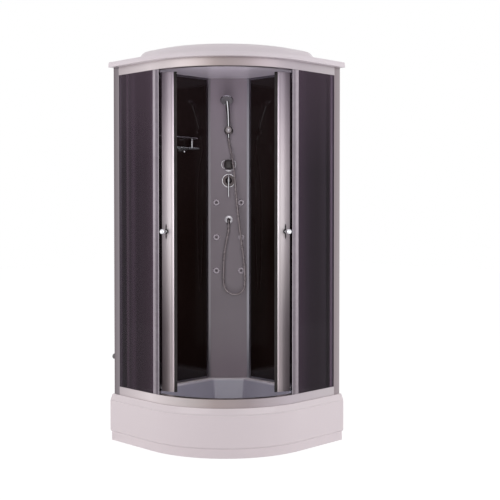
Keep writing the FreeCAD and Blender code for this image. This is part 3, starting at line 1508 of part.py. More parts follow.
def hose_wire(points):
    # straight runs joined by arcs that touch them
    edges = []
    ways = [(end - start).normalize() for start, end in zip(points, points[1:])]
    runs = [(end - start).Length for start, end in zip(points, points[1:])]
    start = points[0]
    radii = []
    for index in range(1, len(points) - 1):
        corner = points[index]
        before, after = ways[index - 1], ways[index]
        setback = 0.45 * min(runs[index - 1], runs[index])
        turn = before.getAngle(after)
        radii.append(setback / math.tan(turn / 2))
        first = corner - before * setback
        last = corner + after * setback
        bisector = (after - before).normalize()
        middle = corner + bisector * (radii[-1] / math.cos(turn / 2) - radii[-1])
        edges.append(Part.LineSegment(start, first).toShape())
        edges.append(Part.Arc(first, middle, last).toShape())
        start = last
    edges.append(Part.LineSegment(start, points[-1]).toShape())
    print("hose radii:", ", ".join(f"{radius:.0f}" for radius in radii))
    return Part.Wire(edges)


def make_hose():
    lean = math.radians(handset_tilt.value)
    tip_out = holder_out.value - handle_low.value * math.sin(lean)
    tip_z = holder_z.value - handle_low.value * math.cos(lean)
    gap = seat_gap.value
    along = FreeCAD.Vector(0, math.sin(lean), -math.cos(lean))
    tip = FreeCAD.Vector(0, -tip_out, tip_z) + along * hose_gap.value
    end = FreeCAD.Vector(0, -elbow_out.value, outlet_z.value - elbow_drop.value - gap)
    points = [tip, tip + along * hose_straight_top.value]
    points += [FreeCAD.Vector(across, -out, height) for across, out, height in HOSE]
    points += [end - FreeCAD.Vector(0, 0, hose_straight_low.value), end]
    wire = hose_wire(points)
    section = Part.Wire(Part.Circle(tip, along, hose_radius.value).toShape())
    tube = wire.makePipeShell([section], True, False)
    print(f"hose volume over section times length: "
          f"{tube.Volume / (math.pi * hose_radius.value ** 2 * wire.Length):.4f}")
    hose = doc.addObject("Part::Feature", "shower_hose")
    hose.Shape = tube
    piece("shower_hose", stand_at_column(hose))


# ---------------------------------------------------------------- shelf and buffer

shelf_front = size("shelf_front", 147, "shelf's near end from the square's front side")
shelf_long = size("shelf_length", 420, "length of the shelf")
shelf_deep = size("shelf_depth", 110, "depth of the shelf")
shelf_z = size("shelf_z", 1638, "underside of the shelf")
shelf_thick = size("shelf_thickness", 6, "thickness of the shelf's glass")
shelf_corner = size("shelf_corner", 45, "plan radius of the shelf's front corners")
shelf_rail_up = size("shelf_rail_up", 56, "shelf's rail above the glass")
rail_wire = size("shelf_rail_wire", 4, "radius of the shelf's rail")
rail_inset = size("shelf_rail_inset", 14, "rail from the glass's edge")
clamp_size = size("shelf_clamp", 20, "height and width of the shelf's clamps")
clamp_deep = size("shelf_clamp_depth", 26, "depth of the shelf's clamps")


def make_shelf():
    wall = -half + panel_face + 2 * seat_gap
    near = shelf_front - half
    far = near + shelf_long
    front = wall + shelf_deep
    corner = shelf_corner
    body = new_body("shelf_glass")
    outline = sketch_on(body, "XY_Plane", (0, 0, shelf_z))
    draw(outline, [
        (wall, near), (front - corner, near, corner, 1), (front, near + corner),
        (front, far - corner, corner, 1), (front - corner, far), (wall, far)])
    pad(body, outline, shelf_thick)
    piece("shelf_glass", body)

    height = shelf_z + shelf_thick + shelf_rail_up
    inset = rail_inset
    bend_in = corner - inset
    rail = new_body("rail_bow")
    start = wall + clamp_deep + rail_wire
    section = sketch_on(rail, "YZ_Plane", (start, 0, 0))
    draw_circle(section, near + inset, height, rail_wire)
    path = sketch_on(rail, "XY_Plane", (0, 0, height))
    draw(path, [
        (start, near + inset), (front - corner, near + inset, bend_in, 1), (front - inset, near + corner),
        (front - inset, far - corner, bend_in, 1), (front - corner, far - inset), (start, far - inset)],
        closed=False)
    swept(rail, section, path)
    parts = [rail]
    for index, along in enumerate((near + inset, far - inset)):
        foot = shelf_z + shelf_thick + seat_gap
        parts.append(rod(f"rail_post_{index}", (start, along, foot), height - foot, 1.5 * rail_wire))
        parts.append(ball(f"rail_ball_{index}", (start, along, height), 2 * rail_wire))
    piece("shelf_rail", joined("shelf_rail", parts))

    clamps = []
    middle = (near + far) / 2
    for index, along in enumerate((middle - shelf_long * 0.36, middle, middle + shelf_long * 0.36)):
        low = shelf_z - clamp_size / 2
        block = box(f"clamp_block_{index}", (wall - seat_gap, along - clamp_size / 2, low),
                    (wall + clamp_deep, along + clamp_size / 2, shelf_z + shelf_thick + 5))
        slot = box(f"clamp_slot_{index}", (wall - seat_gap / 2, along - clamp_size, shelf_z - seat_gap),
                   (wall + 2 * clamp_deep, along + clamp_size, shelf_z + shelf_thick + seat_gap))
        screw = rod(f"clamp_screw_{index}", (wall + clamp_deep / 2, along, low - 8), 8, clamp_size / 3)
        clamps.append(less(f"clamp_{index}", joined(f"clamp_solid_{index}", [block, screw]), [slot]))
    piece("shelf_clamps", grouped("shelf_clamps", clamps))


buffer_radius = size("buffer_radius", 15, "radius of the wall buffer")
buffer_out = size("buffer_out", 25, "wall buffer past the square")
buffer_z = size("buffer_z", 463, "height of the wall buffer")
buffer_from = size("buffer_from", 25, "wall buffer from the front")


def make_buffer():
    stub = rod("wall_buffer", (-half - buffer_out, -half + frame_inset + buffer_from, buffer_z),
               buffer_out + wall_space - seat_gap, buffer_radius, (1, 0, 0))
    piece("wall_buffer", stub)


# ---------------------------------------------------------------- build

make_tray()
make_drain()
make_tray_frame()
make_feet()
make_apron()
make_rails()
for side in ("left", "right"):
    make_side(side)
make_edge_seals()
make_column()
make_roof()
for side in ("left", "right"):
    make_door(side)
make_valve()
make_mixer()
make_jets()
make_handset()
make_outlet()
make_hose()
make_shelf()
make_buffer()

doc.recompute()

failed = [item.Label for item in doc.Objects if {"Invalid", "Error"} & set(item.State)]
if failed:
    raise RuntimeError(f"these did not build: {failed}")
for name, item in pieces.items():
    if item.Shape.isNull() or not item.Shape.isValid():
        raise RuntimeError(f"{name} has no valid shape")
os.makedirs("parts", exist_ok=True)
for name, item in pieces.items():
    item.Shape.exportStep(f"parts/{name}.step")
    print(f"{name}: {len(item.Shape.Solids)} solid(s), {item.Shape.Volume / 1000:.1f} cm3")
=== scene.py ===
import bpy
import math
import numpy as np
from mathutils import Matrix, Vector


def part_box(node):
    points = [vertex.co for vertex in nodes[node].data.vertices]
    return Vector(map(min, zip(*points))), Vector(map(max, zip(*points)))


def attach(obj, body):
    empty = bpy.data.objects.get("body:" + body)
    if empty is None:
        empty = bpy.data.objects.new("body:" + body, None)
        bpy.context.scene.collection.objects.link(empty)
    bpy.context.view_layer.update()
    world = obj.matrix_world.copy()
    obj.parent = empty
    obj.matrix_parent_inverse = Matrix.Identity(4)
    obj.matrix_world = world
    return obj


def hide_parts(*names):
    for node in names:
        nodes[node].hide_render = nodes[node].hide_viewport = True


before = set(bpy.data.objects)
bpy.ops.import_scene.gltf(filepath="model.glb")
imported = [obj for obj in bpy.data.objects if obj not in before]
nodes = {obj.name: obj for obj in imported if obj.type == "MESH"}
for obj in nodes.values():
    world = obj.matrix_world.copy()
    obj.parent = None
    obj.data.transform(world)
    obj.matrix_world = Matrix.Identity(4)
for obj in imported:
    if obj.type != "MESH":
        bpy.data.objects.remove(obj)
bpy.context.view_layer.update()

side45 = math.sqrt(0.5)
columnFace = np.array([-0.350315, 0.350315, 0])   # middle of the column's face, where the fittings are measured from
outward = np.array([side45, -side45, 0])   # out of the column's face
rightward = np.array([side45, side45, 0])   # to the right in the photo
upward = np.array([0, 0, 1.0])
bendMiddle = np.array([-0.100, 0.100])   # the rails' bend turns about this point


def rgb(*values):
    return tuple(values) + (1.0,)


plainWhite = rgb(1.0, 1.0, 1.0)


def atColumn(spots):
    # millimetres across, out and up to metres: corner + across * rightward + out * outward + height * upward
    spots = np.asarray(spots, float) / 1000
    return columnFace + spots[..., :1] * rightward + spots[..., 1:2] * outward + spots[..., 2:] * upward


# the camera stands where the photo's did: metres, a level direction, how far it looks down in radians, and the lens
view = {"place": (3.8435, -3.6662, 1.290), "ahead": (-0.7067, 0.7075), "down": 0.0225, "lens": 68.96, "shiftY": -0.04}


def aimedAt(place, ahead):
    return Matrix.Translation(place) @ Vector(ahead).to_track_quat("-Z", "Y").to_matrix().to_4x4()


def setCamera():
    data = bpy.data.cameras.new("photoCamera")
    data.lens = view["lens"]
    data.sensor_width = 36
    data.shift_y = view["shiftY"]
    data.clip_end = 60
    cam = bpy.data.objects.new("photoCamera", data)
    level = math.cos(view["down"])
    ahead = (view["ahead"][0] * level, view["ahead"][1] * level, -math.sin(view["down"]))
    cam.matrix_world = aimedAt(view["place"], ahead)
    bpy.context.collection.objects.link(cam)
    bpy.context.scene.camera = cam


# soft lamps: place and target in metres, size and height in metres, power in watts; those that are not mirrored
# light the part without a reflection of their own
lamps = {
    "right": {"place": (5.6, -0.6, 2.2), "target": (0, 0, 1.0), "size": 4.0, "power": 44, "tint": (1.0, 0.965, 0.985)},
    "left": {"place": (0.6, -5.6, 2.2), "target": (0, 0, 1.0), "size": 4.0, "power": 56, "tint": (1.0, 0.965, 0.975)},
    "farRight": {"place": (4.0, 4.0, 1.8), "target": (0.3, 0, 1.0), "size": 4.0, "power": 105,
                 "tint": (1.0, 0.97, 0.99), "mirrored": False},
    "farLeft": {"place": (-4.0, -4.0, 1.8), "target": (0, -0.3, 1.0), "size": 4.0, "power": 90,
                "tint": (1.0, 0.96, 0.97), "mirrored": False},
    "front": {"place": (4.4, -4.4, 1.1), "target": (-0.2, 0.2, 1.5), "size": 3.0, "power": 12,
              "tint": (0.98, 0.965, 1.0)},
    "above": {"place": (0.4, -0.4, 5.6), "target": (0, 0, 1.0), "size": 3.6, "power": 22, "tint": (1.0, 0.97, 0.98)},
    "doorway": {"place": (0.20, -0.20, 1.15), "target": (-0.35, 0.35, 1.15), "size": 0.5, "high": 1.6, "power": 7,
                "tint": (0.97, 0.95, 1.0), "mirrored": False},
}


def setLamps():
    for name, lamp in lamps.items():
        data = bpy.data.lights.new(name, "AREA")
        data.shape = "RECTANGLE"
        data.size = lamp["size"]
        data.size_y = lamp.get("high", lamp["size"])
        data.energy = lamp["power"]
        data.color = lamp["tint"]
        item = bpy.data.objects.new(name, data)
        item.matrix_world = aimedAt(lamp["place"], Vector(lamp["target"]) - Vector(lamp["place"]))
        item.visible_camera = item.visible_glossy = lamp.get("mirrored", True)
        bpy.context.collection.objects.link(item)


class Wire:
    # wraps an output socket; an expression on wires adds Math nodes to the material
    def __init__(self, mix, socket):
        self.mix = mix
        self.socket = socket

    def maths(self, operation, first, second):
        return self.mix.add("ShaderNodeMath", {"operation": operation}, [first, second])

    def __add__(self, other):
        return self.maths("ADD", self, other)

    def __radd__(self, other):
        return self.maths("ADD", other, self)

    def __sub__(self, other):
        return self.maths("SUBTRACT", self, other)

    def __rsub__(self, other):
        return self.maths("SUBTRACT", other, self)

    def __mul__(self, other):
        return self.maths("MULTIPLY", self, other)

    def __rmul__(self, other):
        return self.maths("MULTIPLY", other, self)


class NodeTree:
    # the nodes of a material or of the world, and one method that adds any node
    def __init__(self, owner):
        owner.use_nodes = True
        self.tree = owner.node_tree

    def add(self, kind, settings, inputs, output=0):
        node = self.tree.nodes.new(kind)
        for key, value in settings.items():
            setattr(node, key, value)
        pairs = inputs.items() if isinstance(inputs, dict) else enumerate(inputs)
        for key, value in pairs:
            self.feed(node.inputs[key], value)
        return Wire(self, node.outputs[output]) if node.outputs else None

    def feed(self, socket, value):
        if isinstance(value, Wire):
            self.tree.links.new(value.socket, socket)
        elif value is not None:
            socket.default_value = value

    def seen(self, camera, plain):
        # plain for the light that falls on the object; camera for what the camera, metal and glass see
        kinds = ("Camera", "Glossy", "Transmission")
        rays = [self.add("ShaderNodeLightPath", {}, [], f"Is {kind} Ray") for kind in kinds]
        shown = rays[0]
        for ray in rays[1:]:
            shown = self.add("ShaderNodeMath", {"operation": "MAXIMUM"}, [shown, ray])
        return self.add("ShaderNodeMixShader", {}, [shown, plain, camera])


socketNames = {
    "base": "Base Color", "metal": "Metallic", "rough": "Roughness", "ior": "IOR", "alpha": "Alpha",
    "coat": "Coat Weight", "coatRough": "Coat Roughness", "specular": "Specular IOR Level",
    "normal": "Normal", "anisotropic": "Anisotropic",
}


class Finish(NodeTree):
    # one material with a Principled shader, laid out on the piece's own Object coordinates
    def __init__(self, name, **constants):
        self.material = bpy.data.materials.new(name)
        super().__init__(self.material)
        self.shader = self.tree.nodes["Principled BSDF"]
        for socket, value in constants.items():
            self.shader.inputs[socketNames[socket]].default_value = value
        self.place = self.add("ShaderNodeTexCoord", {}, [], "Object")

    def out(self, socket, value):
        self.feed(self.shader.inputs[socketNames[socket]], value)

    def axes(self):
        return [self.add("ShaderNodeSeparateXYZ", {}, [self.place], output) for output in "XYZ"]

    def across(self):
        # metres to the right in the photo, 0 at the middle of the cabin
        x, y, z = self.axes()
        return (x + y) * side45

    def stretched(self, x, y, z):
        return self.add("ShaderNodeMapping", {}, {"Vector": self.place, "Scale": (x, y, z)})

    def noise(self, scale, detail=2.0, vector=None, rough=0.5):
        inputs = {"Vector": vector or self.place, "Scale": scale, "Detail": detail, "Roughness": rough}
        return self.add("ShaderNodeTexNoise", {}, inputs)

    def span(self, value, start, end, low=0.0, high=1.0):
        inputs = {"Value": value, "From Min": start, "From Max": end, "To Min": low, "To Max": high}
        return self.add("ShaderNodeMapRange", {}, inputs)

    def ramp(self, noise, low, high):
        # the middle of a noise, stretched from low to high
        return self.span(noise, 0.3, 0.7, low, high)

    def bands(self, value, ends, stops):
        # colours at stated places along one measure, in metres between the two ends
        start, end = ends
        wire = self.add("ShaderNodeValToRGB", {}, [self.span(value, start, end)])
        ramp = wire.socket.node.color_ramp.elements
        for stop, (spot, colour) in zip((ramp[0], ramp[-1]), (stops[0], stops[-1])):
            stop.position = (spot - start) / (end - start)
            stop.color = rgb(*colour)
        for spot, colour in stops[1:-1]:
            ramp.new((spot - start) / (end - start)).color = rgb(*colour)
        return wire

    def shade(self, value, first, second):
        # from the first colour to the second
        return self.add("ShaderNodeMix", {"data_type": "RGBA"}, {0: value, 6: first, 7: second}, 2)

    def tinge(self, first, second):
        # one colour times another
        settings = {"data_type": "RGBA", "blend_type": "MULTIPLY"}
        return self.add("ShaderNodeMix", settings, {0: 1.0, 6: first, 7: second}, 2)

    def bump(self, height, strength):
        inputs = {"Strength": strength, "Distance": 0.001, "Height": height}
        self.out("normal", self.add("ShaderNodeBump", {}, inputs))

    def texture(self, rough, gloss, grain, depth):
        # roughness that varies in clouds, gloss being their scale and detail, and a fine grain
        self.out("rough", self.ramp(self.noise(*gloss), *rough))
        self.bump(self.noise(grain, 2), depth)


trayLooks = {
    "trayAcrylic": {
        # painted shade: the basin's two colours are darker than the rim, for the shade inside the cabin
        "rim": rgb(0.80, 0.735, 0.75), "basin": (rgb(0.27, 0.26, 0.31), rgb(0.30, 0.29, 0.34)),
        "edge": (0.2470, 0.2525),   # heights between which the basin turns into the rim
        "outside": (0.05, 0.15),   # how far a face looks away from the bend's middle where the outside starts
        "shaded": (-0.35, 0.05, 0.25, 1.0),   # the rim under the walls is in the cabin's shade: from, to, both shares
        "rough": (0.16, 0.26),
    },
}


def makeTray(name, look):
    # glossy acrylic: the rim and the outside are white, and the basin is darker with painted shade, in clouds of
    # standing water marks
    mix = Finish(name, coat=0.3, coatRough=0.08)
    x, y, z = mix.axes()
    # painted shade: the basin's darker colours, in clouds
    wall = mix.shade(mix.ramp(mix.noise(4.5, 3), 0, 1), *look["basin"])
    faces = mix.add("ShaderNodeNewGeometry", {}, [], "Normal")
    fromBend = mix.add("ShaderNodeVectorMath", {"operation": "SUBTRACT"}, [mix.place, (*bendMiddle, 0)])
    turned = mix.add("ShaderNodeVectorMath", {"operation": "DOT_PRODUCT"}, [faces, fromBend], "Value")
    top = mix.span(z, *look["edge"]) * mix.span((x - y) * side45, *look["shaded"])
    mix.out("base", mix.shade(top + mix.span(turned, *look["outside"]), wall, look["rim"]))
    mix.texture(look["rough"], (14, 4), 160, 0.03)
    return mix.material


acrylicLooks = {
    "acrylicWhite": {"base": rgb(0.84, 0.775, 0.79), "shadow": rgb(0.82, 0.755, 0.77), "rough": (0.26, 0.27)},
    "roofWhite": {"base": rgb(0.80, 0.75, 0.775), "shadow": rgb(0.785, 0.735, 0.76), "rough": (0.38, 0.40)},
    # painted shade: the ceiling's own copy of the white acrylic, a little darker and more violet for the shade inside
    # the cabin
    "ceilingShadedWhite": {"base": rgb(0.78, 0.715, 0.80), "shadow": rgb(0.70, 0.64, 0.72), "rough": (0.34, 0.44)},
}


def makeAcrylic(name, look):
    mix = Finish(name, coat=0.3, coatRough=0.1)
    mix.out("base", mix.shade(mix.ramp(mix.noise(2.3, 3), 0, 1), look["shadow"], look["base"]))
    mix.texture(look["rough"], (14, 4), 160, 0.03)
    return mix.material


# painted reflections and painted shade: the room's reflections and the shade on the anodised aluminium are painted into
# its colour in bands; each stop is a place in metres, across the cabin or up it, and a tone
acrossEnds = (-0.65, 0.65)
brushedLooks = {
    "railAluminium": {
        "streaks": (1.2, 1.2, 60),
        "stops": [(-0.62, (0.50, 0.44, 0.46)), (-0.40, (0.74, 0.665, 0.68)), (-0.20, (0.47, 0.42, 0.42)),
                  (-0.05, (0.35, 0.295, 0.29)), (0.12, (0.33, 0.28, 0.29)), (0.35, (0.52, 0.46, 0.50)),
                  (0.62, (0.58, 0.53, 0.55))],
    },
    "jambAluminium": {
        "streaks": (40, 40, 0.5),
        "stops": [(-0.632, (0.14, 0.115, 0.125)), (-0.617, (0.23, 0.20, 0.215)), (-0.59, (0.28, 0.25, 0.27)),
                  (0.56, (0.40, 0.345, 0.375)), (0.60, (0.335, 0.285, 0.30)), (0.625, (0.40, 0.355, 0.37))],
    },
    "stileAluminium": {
        "streaks": (45, 45, 0.4), "metal": 0.25, "heights": (-0.45, 2.10),
        "stops": [(0.30, (0.56, 0.50, 0.51)), (0.44, (0.48, 0.42, 0.43)), (0.72, (0.50, 0.45, 0.46)),
                  (1.00, (0.70, 0.645, 0.65)), (1.20, (0.82, 0.77, 0.78)), (1.50, (0.82, 0.76, 0.78)),
                  (1.72, (0.68, 0.61, 0.65)), (1.88, (0.52, 0.46, 0.51)), (2.01, (0.46, 0.40, 0.46))],
        # painted shade: the part away from the doorway is darker, and less so where evenUp, by height, comes near 1
        "sides": [(-0.36, (0.36, 0.35, 0.35)), (-0.302, (0.46, 0.45, 0.45)), (-0.297, (1.0, 1.0, 1.0)),
                  (-0.27, (1.0, 1.0, 1.0)), (0.27, (1.0, 1.0, 1.0)), (0.294, (1.0, 1.0, 1.0)),
                  (0.300, (0.42, 0.42, 0.43)), (0.36, (0.40, 0.40, 0.41))],
        "evenUp": [(0.30, (0.0, 0.0, 0.0)), (0.65, (0.15, 0.15, 0.15)), (1.10, (0.95, 0.95, 0.95)),
                   (1.60, (1.0, 1.0, 1.0)), (2.02, (0.8, 0.8, 0.8))],
    },
    "trimAluminium": {
        "streaks": (40, 40, 0.5),
        "stops": [(-0.60, (0.12, 0.11, 0.12)), (-0.10, (0.26, 0.24, 0.26)), (0.10, (0.34, 0.33, 0.37)),
                  (0.60, (0.18, 0.17, 0.19))],
    },
}


def makeBrushed(name, look):
    # painted reflections and painted shade in bands across, or up the piece where heights are given, with fine brushed
    # streaks in colour and roughness
    mix = Finish(name, metal=look.get("metal", 1.0), anisotropic=0.3, specular=0.3)
    x, y, z = mix.axes()
    streaks = mix.noise(40, 5, mix.stretched(*look["streaks"]), 0.6)
    worn = mix.shade(mix.ramp(streaks, 0, 1), rgb(0.90, 0.90, 0.90), plainWhite)
    if "heights" in look:
        paintedBandTone = mix.tinge(mix.bands(z, look["heights"], look["stops"]), worn)
        # painted shade across the stile, less of it where evenUp comes near 1
        sides = mix.bands(mix.across(), look["heights"], look["sides"])
        paintedBandTone = mix.tinge(paintedBandTone, mix.shade(mix.bands(z, look["heights"], look["evenUp"]), sides, plainWhite))
    else:
        paintedBandTone = mix.tinge(mix.bands(mix.across(), acrossEnds, look["stops"]), worn)
    mix.out("base", paintedBandTone)
    mix.out("rough", mix.ramp(streaks, 0.32, 0.44))
    mix.bump(streaks, 0.04)
    return mix.material


chromeLooks = {
    "chromePlate": {"base": (0.80, 0.80, 0.83), "rough": (0.05, 0.12)},
    "darkChrome": {"base": (0.20, 0.175, 0.18), "rough": (0.12, 0.20)},
}


def makeChrome(name, look):
    # a thin film of water marks darkens the plating a little
    mix = Finish(name, metal=1.0)
    red, green, blue = look["base"]
    film = rgb(red * 0.92, green * 0.92, blue * 0.93)
    mix.out("base", mix.shade(mix.ramp(mix.noise(9, 3), 0, 1), film, rgb(*look["base"])))
    mix.out("rough", mix.ramp(mix.noise(60, 3), *look["rough"]))
    return mix.material


paneShade = {
    "low": rgb(0.70, 0.64, 0.66), "rise": (0.4, 2.02), "riseShare": 0.75, "streakShare": 0.25,   # painted shade: darker near the tray
    "paintedTopLight": rgb(0.085, 0.055, 0.080), "topLightRise": (1.5, 2.03), "topLightShare": 0.5,   # painted purple light below the top rail
}
paneLooks = {
    "tintedPane": {
        "alpha": (0.80, 0.86), "rough": 0.035, "specular": 0.12,
        # painted reflections and painted shade: bands across the pane for the edges, frames and dark walls that show in
        # it
        "stops": [
            (-0.60, (0.090, 0.071, 0.098)), (-0.583, (0.090, 0.071, 0.098)), (-0.572, (0.022, 0.013, 0.022)),
            (-0.549, (0.022, 0.013, 0.023)), (-0.541, (0.095, 0.067, 0.093)), (-0.525, (0.034, 0.021, 0.034)),
            (-0.504, (0.070, 0.045, 0.070)), (-0.480, (0.034, 0.019, 0.033)), (-0.425, (0.042, 0.024, 0.039)),
            (-0.400, (0.060, 0.038, 0.057)), (-0.384, (0.120, 0.080, 0.118)), (0.384, (0.070, 0.046, 0.072)),
            (0.400, (0.058, 0.038, 0.060)), (0.435, (0.034, 0.022, 0.036)), (0.500, (0.026, 0.017, 0.026)),
            (0.535, (0.040, 0.029, 0.043)), (0.552, (0.013, 0.008, 0.013)), (0.566, (0.026, 0.017, 0.027)),
            (0.574, (0.220, 0.168, 0.232)), (0.585, (0.050, 0.038, 0.057)), (0.60, (0.050, 0.038, 0.057)),
        ],
    },
    "doorPane": {
        "alpha": (0.50, 0.56), "rough": 0.03, "specular": 0.25,
        "stops": [(-0.60, (0.034, 0.026, 0.033)), (-0.30, (0.036, 0.028, 0.034)), (0.30, (0.034, 0.028, 0.036)),
                  (0.60, (0.030, 0.024, 0.032))],
    },
    "shelfPane": {
        "alpha": (0.30, 0.36), "rough": 0.03, "specular": 0.5,
        "stops": [(-0.60, (0.28, 0.30, 0.31)), (-0.30, (0.33, 0.35, 0.36)), (0.60, (0.30, 0.32, 0.33))],
    },
}


def makePane(name, look):
    # a pane lets light straight through where its alpha is low; painted reflections and painted shade lie in bands
    # across it, painted shade makes it darker near the tray, painted purple light lies below the top rail, and it keeps
    # upright streaks
    mix = Finish(name, ior=1.52, specular=look["specular"])
    x, y, z = mix.axes()
    streaks = mix.noise(16, 2, mix.stretched(1, 1, 0.02))
    bands = mix.bands(mix.across(), acrossEnds, look["stops"])
    paintedLightAndStreaks = mix.span(z, *paneShade["rise"]) * paneShade["riseShare"] + mix.ramp(streaks, 0, paneShade["streakShare"])
    plain = mix.tinge(bands, mix.shade(paintedLightAndStreaks, paneShade["low"], plainWhite))
    paintedTopLit = mix.shade(paneShade["topLightShare"], paneShade["paintedTopLight"], bands)
    mix.out("base", mix.shade(mix.span(z, *paneShade["topLightRise"]), plain, paintedTopLit))
    mix.out("alpha", mix.ramp(streaks, *look["alpha"]))
    mix.out("rough", mix.ramp(mix.noise(30, 3), look["rough"], look["rough"] * 1.8))
    return mix.material


wallLooks = {
    "blackGlass": {
        "deep": (rgb(0.005, 0.0025, 0.002), rgb(0.008, 0.0045, 0.004)), "high": rgb(0.016, 0.010, 0.010),
        "rise": (1.2, 2.07), "rough": (0.05, 0.10),
    },
}


def makeBlackGlass(name, look):
    # nearly black, with faint clouds, and a little greyer near the ceiling
    mix = Finish(name, ior=1.5, coat=0.2, coatRough=0.03, specular=0.25)
    x, y, z = mix.axes()
    deep = mix.shade(mix.ramp(mix.noise(4, 3, mix.stretched(1, 1, 0.5)), 0, 1), *look["deep"])
    mix.out("base", mix.shade(mix.span(z, *look["rise"]), deep, look["high"]))
    mix.out("rough", mix.ramp(mix.noise(18, 4), *look["rough"]))
    return mix.material


# where nothing else is said: grain 220, depth 0.05, no metal and no coat
satinLooks = {
    "satinChrome": {"base": (0.78, 0.76, 0.78), "dark": (0.70, 0.68, 0.70), "rough": (0.18, 0.26),
                    "grain": 300, "depth": 0.02, "metal": 0.55},
    "mixerPlateDark": {"base": (0.075, 0.055, 0.055), "dark": (0.06, 0.042, 0.042), "rough": (0.22, 0.32),
                       "grain": 300, "depth": 0.02, "metal": 0.3, "coat": 0.3},
    "jetGrey": {"base": (0.27, 0.24, 0.26), "dark": (0.24, 0.21, 0.235), "rough": (0.22, 0.30),
                "grain": 200, "depth": 0.03, "metal": 0.5},
    "jetDark": {"base": (0.12, 0.10, 0.11), "dark": (0.09, 0.075, 0.085), "rough": (0.3, 0.4)},
    "hoseSteel": {"base": (0.30, 0.26, 0.265), "dark": (0.25, 0.215, 0.22), "rough": (0.24, 0.32),
                  "grain": 240, "depth": 0.08, "metal": 0.55},
    # painted highlight: the beads are pale for the bright line along the lip
    "paintedHighlightBead": {"base": (0.72, 0.67, 0.73), "dark": (0.62, 0.58, 0.63), "rough": (0.25, 0.35),
                 "grain": 200, "depth": 0.02},
    "darkPlastic": {"base": (0.030, 0.024, 0.024), "dark": (0.020, 0.016, 0.016), "rough": (0.3, 0.45)},
    "sprayFaceGrey": {"base": (0.20, 0.19, 0.20), "dark": (0.15, 0.14, 0.15), "rough": (0.35, 0.5)},
    "magnetSealBlack": {"base": (0.010, 0.007, 0.007), "dark": (0.007, 0.005, 0.005), "rough": (0.7, 0.85),
                        "grain": 200},
    "greyRubber": {"base": (0.16, 0.155, 0.16), "dark": (0.11, 0.105, 0.11), "rough": (0.6, 0.75),
                   "grain": 120, "depth": 0.1},
    "whiteNylon": {"base": (0.62, 0.60, 0.60), "dark": (0.56, 0.54, 0.54), "rough": (0.4, 0.5)},
    "zincSteel": {"base": (0.52, 0.53, 0.55), "dark": (0.42, 0.43, 0.45), "rough": (0.35, 0.55),
                  "grain": 90, "depth": 0.08, "metal": 1.0},
    "machinedBrass": {"base": (0.62, 0.45, 0.2), "dark": (0.5, 0.36, 0.15), "rough": (0.25, 0.4),
                      "grain": 150, "metal": 1.0},
}


def makeSatin(name, look):
    # moulded plastic, rubber or satin metal: a slight cloud in the colour and a fine grain
    mix = Finish(name, metal=look.get("metal", 0.0), coat=look.get("coat", 0.0))
    mix.out("base", mix.shade(mix.ramp(mix.noise(6, 3), 0, 1), rgb(*look["dark"]), rgb(*look["base"])))
    mix.texture(look["rough"], (25, 3), look.get("grain", 220), look.get("depth", 0.05))
    return mix.material


sealLooks = {
    "clearSeal": {
        "alpha": (0.66, 0.76), "rough": (0.22, 0.32), "low": rgb(0.66, 0.64, 0.64), "rise": (0.3, 1.3),
        # painted highlight at the bright stops and painted shade at the dark stops beside them
        "stops": [(-0.40, (0.46, 0.42, 0.47)), (-0.3745, (0.72, 0.67, 0.72)), (-0.3695, (0.27, 0.24, 0.28)),
                  (-0.348, (0.34, 0.30, 0.35)), (-0.338, (0.50, 0.455, 0.50)), (0.338, (0.24, 0.21, 0.25)),
                  (0.350, (0.34, 0.30, 0.345)), (0.368, (0.38, 0.335, 0.38)), (0.3735, (0.74, 0.69, 0.74)),
                  (0.40, (0.46, 0.42, 0.47))],
    },
}


def makeSeal(name, look):
    # soft clear lip: milky, a little see-through, paler towards the top, with a painted highlight where it turns to the
    # light and painted shade beside it
    mix = Finish(name, specular=0.4)
    x, y, z = mix.axes()
    cloud = mix.noise(9, 3, mix.stretched(1, 1, 0.3))
    paler = mix.shade(mix.span(z, *look["rise"]) * 0.7 + mix.ramp(cloud, 0, 0.3), look["low"], plainWhite)
    mix.out("base", mix.tinge(mix.bands(mix.across(), acrossEnds, look["stops"]), paler))
    mix.out("alpha", mix.ramp(cloud, *look["alpha"]))
    mix.out("rough", mix.ramp(mix.noise(30, 3), *look["rough"]))
    return mix.material


columnLooks = {
    "columnGrey": {
        "heights": (0.2, 2.1), "rough": (0.30, 0.40), "dull": rgb(0.92, 0.92, 0.92),
        # painted light: the stops by height make the column paler towards both ends
        "stops": [(0.26, (0.20, 0.165, 0.185)), (0.70, (0.135, 0.110, 0.124)), (1.25, (0.124, 0.099, 0.114)),
                  (1.60, (0.170, 0.138, 0.160)), (1.90, (0.25, 0.205, 0.24)), (2.05, (0.27, 0.225, 0.26))],
    },
}


def makeColumn(name, look):
    # satin grey plastic with painted light that makes it paler towards both ends, and slight upright clouds
    mix = Finish(name, coat=0.1, coatRough=0.2)
    x, y, z = mix.axes()
    cloud = mix.noise(5, 2, mix.stretched(1, 1, 0.25))
    bands = mix.bands(z, look["heights"], look["stops"])
    mix.out("base", mix.tinge(bands, mix.shade(mix.ramp(cloud, 0, 1), look["dull"], plainWhite)))
    mix.texture(look["rough"], (25, 3), 300, 0.03)
    return mix.material


def setFinishes():
    makers = {
        makeTray: trayLooks, makeAcrylic: acrylicLooks, makeBrushed: brushedLooks, makeChrome: chromeLooks,
        makePane: paneLooks, makeBlackGlass: wallLooks, makeSatin: satinLooks, makeSeal: sealLooks,
        makeColumn: columnLooks,
    }
    return {name: make(name, look) for make, looks in makers.items() for name, look in looks.items()}


